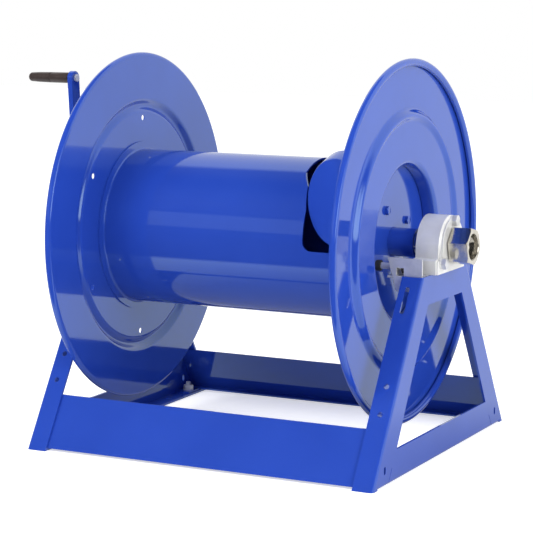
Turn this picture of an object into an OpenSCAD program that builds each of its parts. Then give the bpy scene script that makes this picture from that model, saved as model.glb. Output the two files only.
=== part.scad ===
// Hand-cranked fire hose reel: an open drum between two stamped discs, carried
// in cast bearing housings on a folded A-frame.  The drum turns about X, the
// water inlet is at +X, the crank at -X and the ground is z = 0.

/* [Drum] */
// Height of the drum axis above the ground
axis_h = 356; // [330:1:400]
// Distance between the middle planes of the two discs
disc_span = 516; // [440:1:520]
// Offset of the drum along its axis from the middle of the frame
drum_shift = -6.5; // [-10:0.5:4]
// Outer radius of the discs
disc_r = 307.5; // [270:0.5:320]
// Sheet thickness of the discs
disc_t = 2; // [1.5:0.25:2.5]
// Outer radius of the curled disc rim
curl_r = 6.4; // [5:0.2:8]
// Inner radius of the pressed ring in a disc
ring_in_r = 201; // [198:1:205]
// Radius of the crest of the pressed ring
ring_mid_r = 213; // [210:1:216]
// Outer radius of the pressed ring in a disc
ring_out_r = 226.5; // [224:0.5:240]
// Height of the crest above the middle of a disc
ring_h = 6; // [3:0.5:7]
// Depth by which the outer part of a disc lies nearer to the drum
dish = 3.5; // [1:0.5:5]
// Radius of the circle of small holes in the crank side's disc
lacing_r = 191.6; // [185:0.2:195]
// Diameter of the small holes in the crank side's disc
lacing_d = 10; // [5:0.5:12]
// Outer radius of the drum shell
drum_r = 135.8; // [132:0.2:142]
// Wall thickness of the drum shell
drum_t = 3; // [2:0.5:4]
// Outer radius of the flare at each end of the drum shell
flare_r = 150; // [146:1:160]
// Middle bend radius of the disc neck
neck_bend = 8; // [7.5:0.5:10]
// Depth of the neck collar behind the disc plane
collar_depth = 24; // [20:1:25]

/* [Slot and hood] */
// Lower edge of the hose slot, measured up from the axis
slot_low = -7; // [-12:1:0]
// Left edge of the hose slot
slot_x = 121; // [116:1:125]
// Left edge of the widened top of the slot
slot_top_x = 96; // [85:1:105]
// Corner radius of the slot
slot_corner = 16; // [8:1:20]
// Distance behind the axis plane at which the slot ends on top of the drum
slot_back = 20; // [10:1:30]
// Outer radius of the round hood's face
hood_r = 74; // [70:1:77]
// Widening of the hood behind its face
hood_flare = 10; // [6:1:12]
// Depth over which the hood widens
hood_flare_depth = 22; // [16:1:25]
// Depth of the hood behind its face
hood_len = 30; // [26:1:40]
// Distance from the disc to the middle of the hood's face
hood_in = 60; // [56:1:64]
// Height of the hood's centre above the axis
hood_up = 78; // [76:1:82]
// Distance from the axis to the middle of the hood's face
hood_front = 150; // [146:1:156]
// Turn of the hood's face towards the middle of the drum
hood_turn = 26; // [20:1:30]
// Sheet thickness of the hood
hood_t = 3; // [2:0.5:3.5]
// Rise of the hood's face in its middle
hood_crown = 4; // [0:0.5:8]

/* [Hub and pipes] */
// Depth of a bulkhead's outer face behind the disc plane
bulkhead_depth = 25.5; // [25:0.5:34]
// Sheet thickness of the bulkheads
bulkhead_t = 3; // [2:0.5:4]
// Length of a bulkhead's turned rim
bulkhead_rim = 15; // [8:1:20]
// Radius of the hub flanges
hub_r = 72; // [71:0.5:73]
// Thickness of the hub flanges
hub_t = 6; // [4:0.5:8]
// Radius of the circle of hub bolts
hub_bolt_r = 63.5; // [60:0.5:64]
// Outer radius of the inlet pipe
pipe_r = 24.15; // [24:0.05:25]
// Bore radius of the inlet pipe
pipe_bore = 21.52; // [21.52:0.01:21.6]
// Where the painted inlet pipe ends
pipe_end = 271; // [266:1:276]
// Position of the riser along the axis
riser_x = 143; // [142:0.5:144]
// Bend radius of the riser elbow
elbow_r = 38; // [36:1:44]
// Angle of the riser above level
riser_angle = 75; // [65:5:80]
// Distance from the axis to the mouth of the hose outlet
outlet_reach = 74; // [72:1:78]
// Length of the hose outlet
outlet_len = 34; // [30:1:36]
// Radius of the threaded bore in the inlet
thread_r = 22.2; // [21.8:0.1:22.6]
// Radius of the threaded bore in the hose outlet
outlet_r = 19.5; // [18.5:0.1:20]
// Radius of the water way through the hose outlet
outlet_bore = 17; // [14:0.5:18]
// Depth of the outlet's thread
outlet_thread = 22; // [18:1:24]

/* [Shaft and bearings] */
// Radius of both shaft journals
journal_r = 21.5; // [21:0.05:21.5]
// Bore radius of the inlet journal
journal_bore = 17.5; // [15:0.5:18.5]
// Radial running clearance of shafts in their bores
run_gap = 0.06; // [0.03:0.01:0.1]
// Outer radius of the bushings
bushing_r = 26; // [25:0.25:28]
// Radius of the round top of a bearing housing
housing_r = 50.5; // [50:0.1:51]
// Half width of a bearing housing below its round top
housing_w = 51.5; // [51:0.5:54]
// Half width of a bearing housing's foot
housing_base = 62; // [60:0.5:64]
// Depth of the top of a housing's foot below the axis
housing_foot = 17; // [12:0.5:20]
// Thickness of a bearing housing
housing_t = 43; // [40:0.5:46]
// Distance from the middle of the frame to a housing's inner face
housing_x = 288; // [286:0.5:290]
// Thickness of the retainer plates
retainer_t = 3; // [2:0.5:4]
// Height of the upper retainer bolt above the axis
upper_bolt = 42; // [42:0.1:42.4]
// Distance of the lower retainer bolts from the middle plane
lower_bolt_y = 45; // [40:0.5:46]
// Distance of the lower retainer bolts below the axis
lower_bolt_drop = 25; // [22:0.5:28]

/* [Inlet] */
// Distance across the flats of the inlet swivel
inlet_flats = 57; // [54:0.5:57.5]
// Length of the inlet swivel
inlet_len = 34; // [32:1:42]
// Turn of the inlet swivel at rest, from flat side up
inlet_turn = 14; // [0:1:30]
// Gap between the retainer plate and the inlet swivel
inlet_gap = 2.5; // [2.5:0.5:4]

/* [Crank] */
// Distance from the drum axis to the grip
crank_r = 261; // [200:1:280]
// Distance from the middle of the frame to the arm's inner face
arm_x = 386; // [380:1:400]
// Width of the crank arm
arm_w = 25; // [20:1:30]
// Thickness of the crank arm
arm_t = 10; // [8:1:12]
// Lean of the crank towards the front at rest
crank_lean = 4.8; // [0:0.1:10]
// Length of the grip
grip_len = 83; // [75:1:110]
// Radius of the grip at the arm
grip_r = 9.5; // [9:0.5:15]
// Radius of the grip spindle
spindle_r = 4; // [3:0.5:5]
// Radius of the stub shaft's end, which carries the crank
crank_shaft_r = 12.7; // [10:0.1:14]
// Radius of the crank hub
crank_hub_r = 20; // [18:0.5:21]
// Length of the crank hub
crank_hub_len = 34; // [26:1:36]

/* [Frame] */
// Distance from the middle to the outer face of an end frame
frame_x = 321.6; // [319:0.2:330]
// Distance from the middle to a foot
foot_y = 293; // [280:1:310]
// Half depth of the frame at its top
top_y = 99; // [98:0.5:110]
// Height of the drum axis above the top of the frame
axis_rise = 42.5; // [40:0.5:46]
// Sheet thickness of the end frames
frame_t = 4; // [3:0.5:4]
// Width of the leg flanges and bottom flanges
flange_w = 37; // [35:1:42]
// Outer bend radius of the end frames
bend_r = 6; // [5:0.5:8]
// Half width of the opening in an end frame at its bottom
window_low_y = 200.4; // [180:0.2:202]
// Half width of the opening in an end frame at its top
window_top_y = 75.7; // [60:0.1:76]
// Height of the bottom edge of the opening
window_low_z = 51.2; // [40:0.2:60]
// Height of an end frame's header above the opening
header_h = 47.5; // [46:0.5:70]
// Top of the rails above the ground
rail_top = 87; // [70:1:95]
// Sheet thickness of the rails
rail_t = 3; // [2:0.5:4]
// Width of a rail's bottom flange
rail_foot = 25; // [20:1:30]
// Distance between the anchor holes along the drum axis
anchor_x = 600; // [590:1:606]
// Distance between the anchor holes across the frame
anchor_y = 320; // [300:1:330]
// Diameter of the anchor holes
anchor_d = 11; // [9:0.5:13]
// Distance from the middle to a frame stud
stud_y = 235; // [225:1:240]
// Diameter of the frame studs
stud_d = 10; // [8:1:12]

/* [Bearing brackets] */
// Length of a bracket inwards from the end frame
bracket_len = 61.4; // [56:0.2:63]
// Height of a bracket's cheeks above the frame
cheek_up = 29.5; // [24:0.5:34]
// Depth of a bracket's cheeks below the top of the frame
cheek_down = 25.5; // [16:0.5:30]
// Slant of a cheek's inner edge
cheek_slant = 15.5; // [8:0.5:18]
// Side of the square window in a cheek
cheek_window = 13; // [10:0.5:14]

/* [Brake] */
// Distance of the brake screw in front of the axis
brake_y = 77; // [76.5:0.1:77.5]
// Distance of the brake screw below the axis
brake_drop = 30; // [29.5:0.1:31]
// Radius of the brake screw
brake_r = 5.5; // [4.5:0.5:6]
// Radius of the brake pad
pad_r = 9; // [8:0.5:9.5]
// Travel of the brake pad
brake_travel = 4; // [3:0.5:5]
// Radius of the brake knob
knob_r = 11; // [10:0.5:11]
// Length of the brake knob
knob_len = 18; // [12:1:20]

/* [Hidden] */
$fn = 96;
eps = 0.01;
seat = 0.1;
RIGHT = 1;
LEFT = -1;
PAINT = [0.13, 0.27, 0.74];
CAST = [0.78, 0.79, 0.80];
PLATED = [0.70, 0.69, 0.64];
STEEL = [0.62, 0.63, 0.65];
BRONZE = [0.70, 0.52, 0.28];
BLACK = [0.06, 0.05, 0.05];

function disc_plane(side) = drum_shift + side * disc_span / 2;
drum_in_r = drum_r - drum_t;
collar_mid_r = drum_in_r - seat - disc_t / 2;
neck_c = [collar_mid_r + neck_bend, -neck_bend];
disc_inner_face = disc_plane(RIGHT) - disc_t / 2;
bulkhead_r = drum_in_r - seat;
hub_back = -bulkhead_depth - bulkhead_t - hub_t;
lacing_count = 6;
lacing_start = 88;
hub_bolt_count = 4;
hub_bolt_start = 29;

frame_h = axis_h - axis_rise;
window_top_z = frame_h - header_h;
lean = atan((foot_y - top_y) / frame_h);
leg_len = frame_h / cos(lean);
through = 6 * frame_t;
rail_end = frame_x - frame_t - seat;
bracket_x = frame_x - frame_t - bracket_len;
bracket_y = top_y - frame_t / cos(lean) - seat;
cheek_t = frame_t;
shelf_t = frame_t;
housing_out = housing_x + housing_t;
retainer_out = housing_out + retainer_t;
inlet_x = retainer_out + inlet_gap;
inlet_end = inlet_x + inlet_len;
snap_x = inlet_x + 8;
snap_t = 2;
journal_end = snap_x + snap_t + 1.6;
journal_root = disc_plane(RIGHT) - 6;

m8_r = 4;
m8_flats = 13;
m8_head = 5.3;
m8_nut = 6.5;
m8_tail = 9;
m10_r = 5;
m10_flats = 17;
m10_head = 6.4;
m12_r = 6;
m12_flats = 19;
m12_head = 7.5;
bolt_gap = 0.3;
washer_t = 2;
foot_bolt_depth = axis_rise - housing_foot - 5.5;
brake_axis = [-brake_y, axis_h - brake_drop];
pad_t = 8;
pad_rest_x = disc_plane(RIGHT) - bulkhead_depth + brake_travel + seat;
lug_x = bracket_x + 11;
lug_t = frame_t;
knob_x = lug_x + lug_t + brake_travel + 2;
arm_out = arm_x + arm_t;
grip_gap = 0.3;
grip_x = arm_out + washer_t + 2 * grip_gap;

// ---- Shared geometry ---------------------------------------------------

// Points on an arc about c from angle a to angle b
function arc(c, r, a, b, n = 12) =
    [for (i = [0:n]) c + r * [cos(a + (b - a) * i / n), sin(a + (b - a) * i / n)]];

function reversed(points) = [for (i = [len(points) - 1:-1:0]) points[i]];

// Half depth of the frame at height z, measured n inwards from the leg's face
function leg_y(z, n = 0) = foot_y - z * tan(lean) - n / cos(lean);

// Turns a shape built about Z so that it lies about the X direction at x, y, z
module along_x(x, y = 0, z = axis_h) {
    translate([x, y, z]) rotate([0, 90, 0]) children();
}

// Builds a shape drawn for the right-hand end at either end
module at_end(side) {
    mirror([side == LEFT ? 1 : 0, 0, 0]) children();
}

// Builds a shape of the drum, drawn outwards from the right disc's plane at x = 0
module at_disc(side) {
    translate([disc_plane(side), 0, axis_h])
        mirror([side == LEFT ? 1 : 0, 0, 0])
            rotate([0, 90, 0]) children();
}

// Cylinder along local Z between two heights
module rod(r, from, to) {
    translate([0, 0, from]) cylinder(r = r, h = to - from);
}

module tube(r, bore, from, to) {
    difference() {
        rod(r, from, to);
        rod(bore, from - 1, to + 1);
    }
}

// Hexagon prism along local Z, given across its flats
module hexagon(flats, from, to) {
    translate([0, 0, from]) cylinder(r = flats / sqrt(3), h = to - from, $fn = 6);
}

// Places children on a circle in local XY; start is measured from +Y towards +Z
module ring_of(count, r, start) {
    for (i = [0:count - 1])
        rotate([0, 0, start + 90 + 360 * i / count]) translate([r, 0, 0]) children();
}

// ---- Discs and drum ----------------------------------------------------

// Smooth fall or rise between two points of a section
function flank(from, to, shift, first = 0) = [
    for (i = [first:8])
        let (u = i / 8)
        [from.x + (to.x - from.x) * u, from.y + (to.y - from.y) * (1 - cos(180 * u)) / 2 + shift]
];

// Line of the pressed ring, from its outer to its inner radius
function ring_line(shift) = concat(
    flank([ring_out_r, -dish], [ring_mid_r, ring_h], shift),
    flank([ring_mid_r, ring_h], [ring_in_r, 0], shift, 1));

module disc_sheet() {
    half = disc_t / 2;
    curl_c = [disc_r - curl_r, curl_r - dish - half];
    polygon(concat(
        arc(curl_c, curl_r - disc_t, 560, 270, 28), ring_line(half),
        arc(neck_c, neck_bend + half, 90, 180),
        [[collar_mid_r - half, -collar_depth], [collar_mid_r + half, -collar_depth]],
        arc(neck_c, neck_bend - half, 180, 90),
        reversed(ring_line(-half)), arc(curl_c, curl_r, 270, 560, 28)));
}

module disc(side) {
    color(PAINT) at_disc(side) difference() {
        rotate_extrude() disc_sheet();
        if (side == LEFT) ring_of(lacing_count, lacing_r, lacing_start)
            cylinder(d = lacing_d, h = 4 * disc_t, center = true);
    }
}

// Outline of one flared end of the drum shell, in the right disc's frame
function flare(x0, side) = [
    for (p = concat(arc(neck_c, neck_bend - disc_t / 2 - seat, 180, 90),
                    [[flare_r, neck_c.y + neck_bend - disc_t / 2 - seat],
                     [flare_r, neck_c.y + neck_bend - disc_t / 2 - seat - drum_t]],
                    arc(neck_c, neck_bend - disc_t / 2 - seat - drum_t, 90, 180)))
        [p.x, x0 + side * p.y]
];

module slot_outline() {
    polygon(concat(
        [[disc_plane(RIGHT), slot_low]],
        arc([slot_x + slot_corner, slot_low + slot_corner], slot_corner, 270, 180),
        [[slot_x, 60], [slot_x - 9, 96], [slot_top_x, 116],
         [slot_top_x, drum_r + 20], [disc_plane(RIGHT), drum_r + 20]]));
}

module drum_shell() {
    color(PAINT) difference() {
        along_x(0) rotate_extrude()
            polygon(concat(flare(disc_plane(RIGHT), 1), reversed(flare(disc_plane(LEFT), -1))));
        translate([0, slot_back, axis_h]) rotate([90, 0, 0])
            linear_extrude(height = flare_r + slot_back) slot_outline();
    }
}

module bulkhead(side) {
    color(PAINT) at_disc(side) difference() {
        rod(bulkhead_r, -bulkhead_depth - bulkhead_rim, -bulkhead_depth);
        rod(bulkhead_r - bulkhead_t, -bulkhead_depth - bulkhead_rim - 1, -bulkhead_depth - bulkhead_t);
        rod(shaft_hole(side), -bulkhead_depth - bulkhead_rim, 0);
        ring_of(hub_bolt_count, hub_bolt_r, hub_bolt_start)
            rod(m8_r + bolt_gap, -bulkhead_depth - bulkhead_rim, 0);
    }
}

function shaft_hole(side) = (side == RIGHT ? pipe_r : journal_r) + seat;

module hub_flange(side) {
    color(PAINT) at_disc(side) difference() {
        rod(hub_r, hub_back, hub_back + hub_t);
        rod(shaft_hole(side), hub_back - 1, 0);
        ring_of(hub_bolt_count, hub_bolt_r, hub_bolt_start)
            rod(m8_r + bolt_gap, hub_back - 1, 0);
    }
}

module hub_bolts() {
    under_head = -bulkhead_depth;
    nut_face = hub_back;
    color(PAINT) for (side = [LEFT, RIGHT])
        at_disc(side) ring_of(hub_bolt_count, hub_bolt_r, hub_bolt_start) {
            hexagon(m8_flats, under_head, under_head + m8_head);
            rod(m8_r, nut_face - m8_tail, under_head + eps);
        }
}

module hub_nuts() {
    nut_face = hub_back;
    color(PAINT) for (side = [LEFT, RIGHT])
        at_disc(side) ring_of(hub_bolt_count, hub_bolt_r, hub_bolt_start)
            difference() {
                hexagon(m8_flats, nut_face - m8_nut, nut_face);
                rod(m8_r, nut_face - m8_tail, nut_face + 1);
            }
}

// Wall of the hood: a crowned face, a rounded edge, a widening skirt and a straight rim
module hood_wall() {
    edge = 6;
    slope = atan2(hood_flare, hood_flare_depth - edge);
    face_r = hood_r - edge;
    skirt_r = hood_r + hood_flare;
    polygon(concat(
        [[skirt_r, -hood_len], [skirt_r, -hood_flare_depth]],
        arc([face_r, -edge], edge, slope, 90),
        [for (i = [1:8]) let (u = 1 - i / 8) [face_r * u, hood_crown * (1 - u * u)]],
        [for (i = [8:-1:1]) let (u = 1 - i / 8) [face_r * u, hood_crown * (1 - u * u) - hood_t]],
        arc([face_r, -edge], edge - hood_t, 90, slope),
        [[skirt_r - hood_t, -hood_flare_depth - 1], [skirt_r - hood_t, -hood_len]]));
}

// The hood is trimmed to the disc that carries it, and clears the bulkhead and the neck
module riser_hood() {
    notch_gap = 2;
    color(PAINT) difference() {
        translate([disc_inner_face - hood_in, -hood_front, axis_h + hood_up])
            rotate([90, 0, -hood_turn]) rotate_extrude() hood_wall();
        at_disc(RIGHT) {
            rod(bulkhead_r + notch_gap, -bulkhead_depth - bulkhead_rim - notch_gap, 0);
            rod(neck_c.x + notch_gap, -collar_depth - notch_gap, 0);
        }
        translate([disc_inner_face, -3 * hood_r, axis_h + hood_up - 2 * hood_r])
            cube([2 * hood_r, 4 * hood_r, 4 * hood_r]);
    }
}

// ---- Water way ---------------------------------------------------------

module inlet_pipe() {
    color(PAINT) along_x(0) tube(pipe_r, pipe_bore, riser_x + elbow_r, pipe_end);
}

module swivel_journal() {
    color(PLATED) along_x(0) tube(journal_r, journal_bore, journal_root, journal_end);
}

module snap_ring() {
    color(STEEL) along_x(0) tube(journal_r + 2.6, journal_r, snap_x + 0.3, snap_x + 0.3 + snap_t);
}

// Places children with local Z pointing out along the riser, from the axis
module along_riser() {
    translate([riser_x, 0, axis_h]) rotate([90 - riser_angle, 0, 0]) children();
}

module riser_elbow() {
    color(PAINT) translate([riser_x, 0, axis_h]) rotate([90 - riser_angle, 0, 0])
        translate([elbow_r, 0, elbow_r]) rotate([-90, 0, 0]) intersection() {
            rotate_extrude() translate([elbow_r, 0]) difference() {
                circle(r = pipe_r);
                circle(r = pipe_bore);
            }
            translate([-elbow_r - pipe_r - 1, 0, -pipe_r - 1])
                cube([elbow_r + pipe_r + 1, elbow_r + pipe_r + 1, 2 * pipe_r + 2]);
        }
}

module riser_pipe() {
    color(PAINT) along_riser() tube(pipe_r, pipe_bore, elbow_r, outlet_reach - outlet_thread - 3);
}

module hose_outlet() {
    inner = outlet_reach - outlet_len;
    step = outlet_reach - outlet_thread - 3;
    color(PLATED) along_riser() difference() {
        hexagon(inlet_flats, inner, outlet_reach);
        rod(pipe_r + seat, inner - 1, step);
        rod(outlet_bore, inner, outlet_reach);
        rod(outlet_r, outlet_reach - outlet_thread, outlet_reach + 1);
    }
}

module inlet_swivel() {
    chamfer = 3;
    outer = inlet_flats / sqrt(3) + 1;
    color(PLATED) along_x(0) difference() {
        intersection() {
            rotate([0, 0, 30 - inlet_turn]) hexagon(inlet_flats, inlet_x, inlet_end);
            rotate_extrude() polygon([[0, inlet_x - 1], [outer, inlet_x - 1], [outer, inlet_end - chamfer],
                                      [inlet_flats / 2 + 1, inlet_end], [0, inlet_end]]);
        }
        rod(journal_r + run_gap, inlet_x - 1, inlet_end);
        rod(seal_r + 2 * seal_wire, inlet_x + 2.6, inlet_x + 2.6 + seal_width);
        rod(journal_r + 3.6, snap_x, journal_end + 0.4);
        rod(thread_r, journal_end, inlet_end + 1);
        translate([0, 0, inlet_end - 1.5])
            cylinder(r1 = thread_r, r2 = thread_r + 2, h = 2);
    }
}

seal_wire = 1.2;
seal_width = 2 * seal_wire + 0.4;
seal_r = journal_r + run_gap;

module inlet_seal() {
    color(BLACK) along_x(inlet_x + 2.6 + seal_width / 2)
        rotate_extrude() translate([seal_r + seal_wire, 0]) circle(r = seal_wire, $fn = 24);
}

// ---- Shaft, bearings and crank -----------------------------------------

module stub_shaft() {
    root = -disc_plane(LEFT) + hub_back - m8_tail;
    color(STEEL) at_end(LEFT) along_x(0) {
        rod(journal_r, root, retainer_out + 3);
        rod(crank_shaft_r, retainer_out, arm_out);
    }
}

module bushing(side) {
    color(BRONZE) at_end(side) along_x(0)
        tube(bushing_r - 0.02, journal_r + run_gap, housing_x, housing_out);
}

// End view of a housing about the shaft, x downwards: a round top, sides with
// a sloped shoulder and a wider foot
module housing_outline() {
    shoulder = 9;
    slope = 5;
    fillet = 3;
    bottom = axis_h - frame_h;
    circle(r = housing_r);
    half = concat(
        [[-shoulder, sqrt(housing_r * housing_r - shoulder * shoulder)], [slope - shoulder, housing_w],
         [housing_foot, housing_w]],
        arc([housing_foot + fillet, housing_base - fillet], fillet, 180, 90, 6),
        [[bottom, housing_base]]);
    polygon(concat(half, [for (p = reversed(half)) [p.x, -p.y]]));
}

module bearing_housing(side) {
    chamfer = 3;
    low = axis_h - frame_h;
    color(CAST) at_end(side) difference() {
        along_x(0) {
            translate([0, 0, housing_x]) linear_extrude(height = housing_t - chamfer) housing_outline();
            translate([0, 0, housing_out - chamfer])
                cylinder(r1 = housing_r, r2 = housing_r - chamfer, h = chamfer);
            translate([0, -housing_w + chamfer, housing_out - chamfer])
                cube([low, 2 * (housing_w - chamfer), chamfer]);
            translate([housing_foot + chamfer, -housing_base + chamfer, housing_out - chamfer])
                cube([low - housing_foot - chamfer, 2 * (housing_base - chamfer), chamfer]);
        }
        translate([housing_x - 1, -housing_base, 0]) cube([housing_t + 2, 2 * housing_base, frame_h]);
        along_x(0) rod(bushing_r, housing_x - 1, housing_out + 1);
        retainer_bolt_places() rod(m10_r, housing_out - retainer_thread - 2, housing_out + 1);
        housing_bolt_places() cylinder(r = m12_r, h = foot_bolt_depth + 2);
    }
}

retainer_thread = 19;

module retainer_bolt_places() {
    places = [[-upper_bolt, 0], [lower_bolt_drop, lower_bolt_y], [lower_bolt_drop, -lower_bolt_y]];
    along_x(0) for (p = places) translate(p) children();
}

module housing_bolt_places() {
    for (y = [-1, 1])
        translate([housing_x + (frame_x - frame_t - housing_x) / 2, y * (housing_base - 11), frame_h])
            children();
}

module housing_bolts() {
    color(STEEL) for (side = [LEFT, RIGHT]) at_end(side) housing_bolt_places() {
        rod(m12_r, -shelf_t - eps, foot_bolt_depth);
        hexagon(m12_flats, -shelf_t - m12_head, -shelf_t);
    }
}

// A retainer plate covers the bushing: a disc with an ear and a foot for its bolts
module retainer(side) {
    rim = 4;
    foot_r = 9;
    ear_r = housing_r - upper_bolt;
    color(CAST) at_end(side) difference() {
        along_x(0) {
            rod(housing_r - rim, housing_out, retainer_out);
            translate([-upper_bolt, 0]) rod(ear_r, housing_out, retainer_out);
            translate([lower_bolt_drop - foot_r, -lower_bolt_y, housing_out])
                cube([2 * foot_r, 2 * lower_bolt_y, retainer_t]);
            for (y = [-lower_bolt_y, lower_bolt_y])
                translate([lower_bolt_drop, y]) rod(foot_r, housing_out, retainer_out);
        }
        translate([housing_out - 1, -housing_r, 0])
            cube([retainer_t + 2, 2 * housing_r, axis_h - lower_bolt_drop - foot_r]);
        along_x(0) rod(journal_r + 1.5, housing_out - 1, retainer_out + 1);
        retainer_bolt_places() rod(m10_r + bolt_gap, housing_out - 1, retainer_out + 1);
    }
}

module retainer_washers() {
    color(STEEL) for (side = [LEFT, RIGHT]) at_end(side)
        retainer_bolt_places() tube(8.5, m10_r + bolt_gap, retainer_out, retainer_out + washer_t);
}

module retainer_bolts() {
    head = retainer_out + washer_t;
    color(STEEL) for (side = [LEFT, RIGHT]) at_end(side)
        retainer_bolt_places() {
            rod(m10_r, housing_out - retainer_thread, head + eps);
            rotate([0, 0, 30]) hexagon(m10_flats, head, head + m10_head);
        }
}

// Crank pieces are drawn on the right and upright, then mirrored and leaned
module crank_frame() {
    at_end(LEFT) translate([0, 0, axis_h]) rotate([crank_lean, 0, 0]) translate([0, 0, -axis_h])
        children();
}

module crank_hub() {
    color(PAINT) crank_frame() difference() {
        along_x(0) tube(crank_hub_r, crank_shaft_r + 0.05, arm_x - crank_hub_len, arm_x);
        translate([arm_x - crank_hub_len / 2, 0, axis_h]) cylinder(r = m8_r, h = crank_hub_r + 1);
    }
}

module crank_set_screw() {
    color(STEEL) crank_frame() translate([arm_x - crank_hub_len / 2, 0, axis_h + crank_shaft_r + 0.1])
        difference() {
            cylinder(r = m8_r - 0.05, h = crank_hub_r - crank_shaft_r);
            translate([0, 0, crank_hub_r - crank_shaft_r - 4]) cylinder(r = 2.3, h = 5, $fn = 6);
        }
}

module crank_arm() {
    color(PAINT) crank_frame() difference() {
        union() {
            along_x(arm_x) cylinder(r = crank_hub_r, h = arm_t);
            along_x(arm_x, 0, axis_h + crank_r) cylinder(r = arm_w / 2, h = arm_t);
            translate([arm_x, -arm_w / 2, axis_h]) cube([arm_t, arm_w, crank_r]);
        }
        along_x(0) rod(crank_shaft_r + 0.05, arm_x - 1, arm_out + 1);
        along_x(0, 0, axis_h + crank_r) rod(spindle_r + 0.05, arm_x - 1, arm_out + 1);
    }
}

spindle_head = 6;
spindle_flats = 12;
spindle_head_h = 4.5;
spindle_end = grip_x + grip_len - 6;

module grip_spindle() {
    color(STEEL) crank_frame() along_x(0, 0, axis_h + crank_r) {
        hexagon(spindle_flats, arm_x - spindle_head_h, arm_x);
        rod(spindle_r, arm_x - eps, spindle_end);
        rod(spindle_head - 0.5, spindle_end - 3, spindle_end);
    }
}

module grip_washer() {
    color(STEEL) crank_frame() along_x(0, 0, axis_h + crank_r)
        tube(grip_r - 1, spindle_r + 0.1, arm_out + grip_gap, arm_out + grip_gap + washer_t);
}

// Grip body: a slow swell from the arm to a rounded end, bored for its spindle
module crank_grip() {
    tip = 4;
    color(BLACK) crank_frame() along_x(0, 0, axis_h + crank_r) difference() {
        rotate_extrude() polygon(concat(
            [[0, grip_x], [grip_r - 1, grip_x], [grip_r, grip_x + 1.5],
             [grip_r - 0.2, grip_x + 0.5 * grip_len], [grip_r - 0.6, grip_x + 0.75 * grip_len]],
            arc([grip_r - 1.5 - tip, grip_x + grip_len - tip], tip, 0, 90),
            [[0, grip_x + grip_len]]));
        rod(spindle_r + run_gap, grip_x - 1, spindle_end);
        rod(spindle_head, spindle_end - 3.5, spindle_end + 1);
    }
}

// ---- Frame -------------------------------------------------------------

// Places children in the frame of a leg: x outwards, y inwards from the leg's
// face, z up along the leg from the foot
module leg_frame(back = false) {
    mirror([0, back ? 1 : 0, 0]) translate([frame_x, -foot_y, 0]) rotate([-lean, 0, 0]) children();
}

// Outline of an end frame from the side, n inside its slanted faces and above its bottom
module frame_outline(n, top) {
    polygon([[-leg_y(n, n), n], [leg_y(n, n), n], [leg_y(top, n), top], [-leg_y(top, n), top]]);
}

module window_outline() {
    polygon([[-window_low_y, window_low_z], [window_low_y, window_low_z],
             [window_top_y, window_top_z], [-window_top_y, window_top_z]]);
}

// Waste outside a bend, between two faces that meet at the origin
module bend_waste() {
    difference() {
        translate([-bend_r, -1]) square([bend_r + 1, bend_r + 1]);
        translate([-bend_r, bend_r]) circle(r = bend_r);
    }
}

// Folded tray: an outer plate with flanges along its legs and its bottom
module tray() {
    foot = 18;
    width = 2 * (foot_y - foot);
    difference() {
        translate([frame_x - flange_w, 0, 0]) rotate([90, 0, 90])
            linear_extrude(height = flange_w) frame_outline(0, frame_h);
        translate([frame_x - flange_w - 1, 0, 0]) rotate([90, 0, 90])
            linear_extrude(height = flange_w + 1 - frame_t) frame_outline(frame_t, frame_h + 1);
        rotate([90, 0, 90]) linear_extrude(height = frame_x + 1) window_outline();
        for (back = [false, true]) leg_frame(back) translate([0, 0, -10])
            linear_extrude(height = leg_len + 20) bend_waste();
        translate([frame_x, width / 2, 0]) rotate([90, 0, 0]) linear_extrude(height = width) bend_waste();
    }
}

// Slot with round ends, cut along local Z and long in local Y
module slot(width, length, depth) {
    for (y = [-1, 1]) translate([0, y * (length - width) / 2, 0])
        cylinder(d = width, h = depth, center = true);
    cube([width, length - width, depth], center = true);
}

// Two round holes and a long slot through the flange of a leg
module leg_holes() {
    hole_in = 19;
    hole_d = 9;
    hole_places = [110, 151];
    slot_in = 23;
    slot_drop = 35;
    slot_w = 8;
    slot_len = 48;
    for (z = hole_places) translate([-hole_in, 0, z / cos(lean)]) rotate([90, 0, 0])
        cylinder(d = hole_d, h = through, center = true);
    translate([-slot_in, 0, (frame_h - slot_drop) / cos(lean)]) rotate([90, 0, 0])
        slot(slot_w, slot_len, through);
}

// Lug on the upper end of the rear leg
module rear_lug() {
    lug_len = 8;
    lug_h = 26;
    lug_y = 124;
    low = frame_h - lug_h - 4;
    translate([frame_x - frame_t - lug_len, 0, 0]) rotate([90, 0, 90]) linear_extrude(height = lug_len)
        polygon([[leg_y(low, 2), low], [lug_y - 4, low], [lug_y, low + lug_h],
                 [leg_y(low + lug_h, 2), low + lug_h]]);
}

// An end frame with the holes of its foot: two slots, two anchors and two studs
module end_frame(side) {
    seam = 1;
    seam_w = 1.2;
    seam_in = 50;
    slot_w = 7;
    slot_len = 13;
    slot_z = 26;
    slot_y = foot_y - 46;
    color(PAINT) at_end(side) difference() {
        union() {
            tray();
            if (side == RIGHT) rear_lug();
        }
        for (back = [false, true]) leg_frame(back) {
            leg_holes();
            translate([-seam, seam_in, 0]) cube([2 * seam, seam_w, window_low_z / cos(lean)]);
        }
        for (y = [-1, 1]) {
            translate([frame_x, y * slot_y, slot_z]) rotate([90, 0, 90]) slot(slot_w, slot_len, through);
            translate([anchor_x / 2, y * anchor_y / 2, 0])
                cylinder(d = anchor_d, h = through, center = true);
            translate([anchor_x / 2, y * stud_y, 0])
                cylinder(d = stud_d + 2 * seat, h = through, center = true);
        }
    }
}

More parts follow.
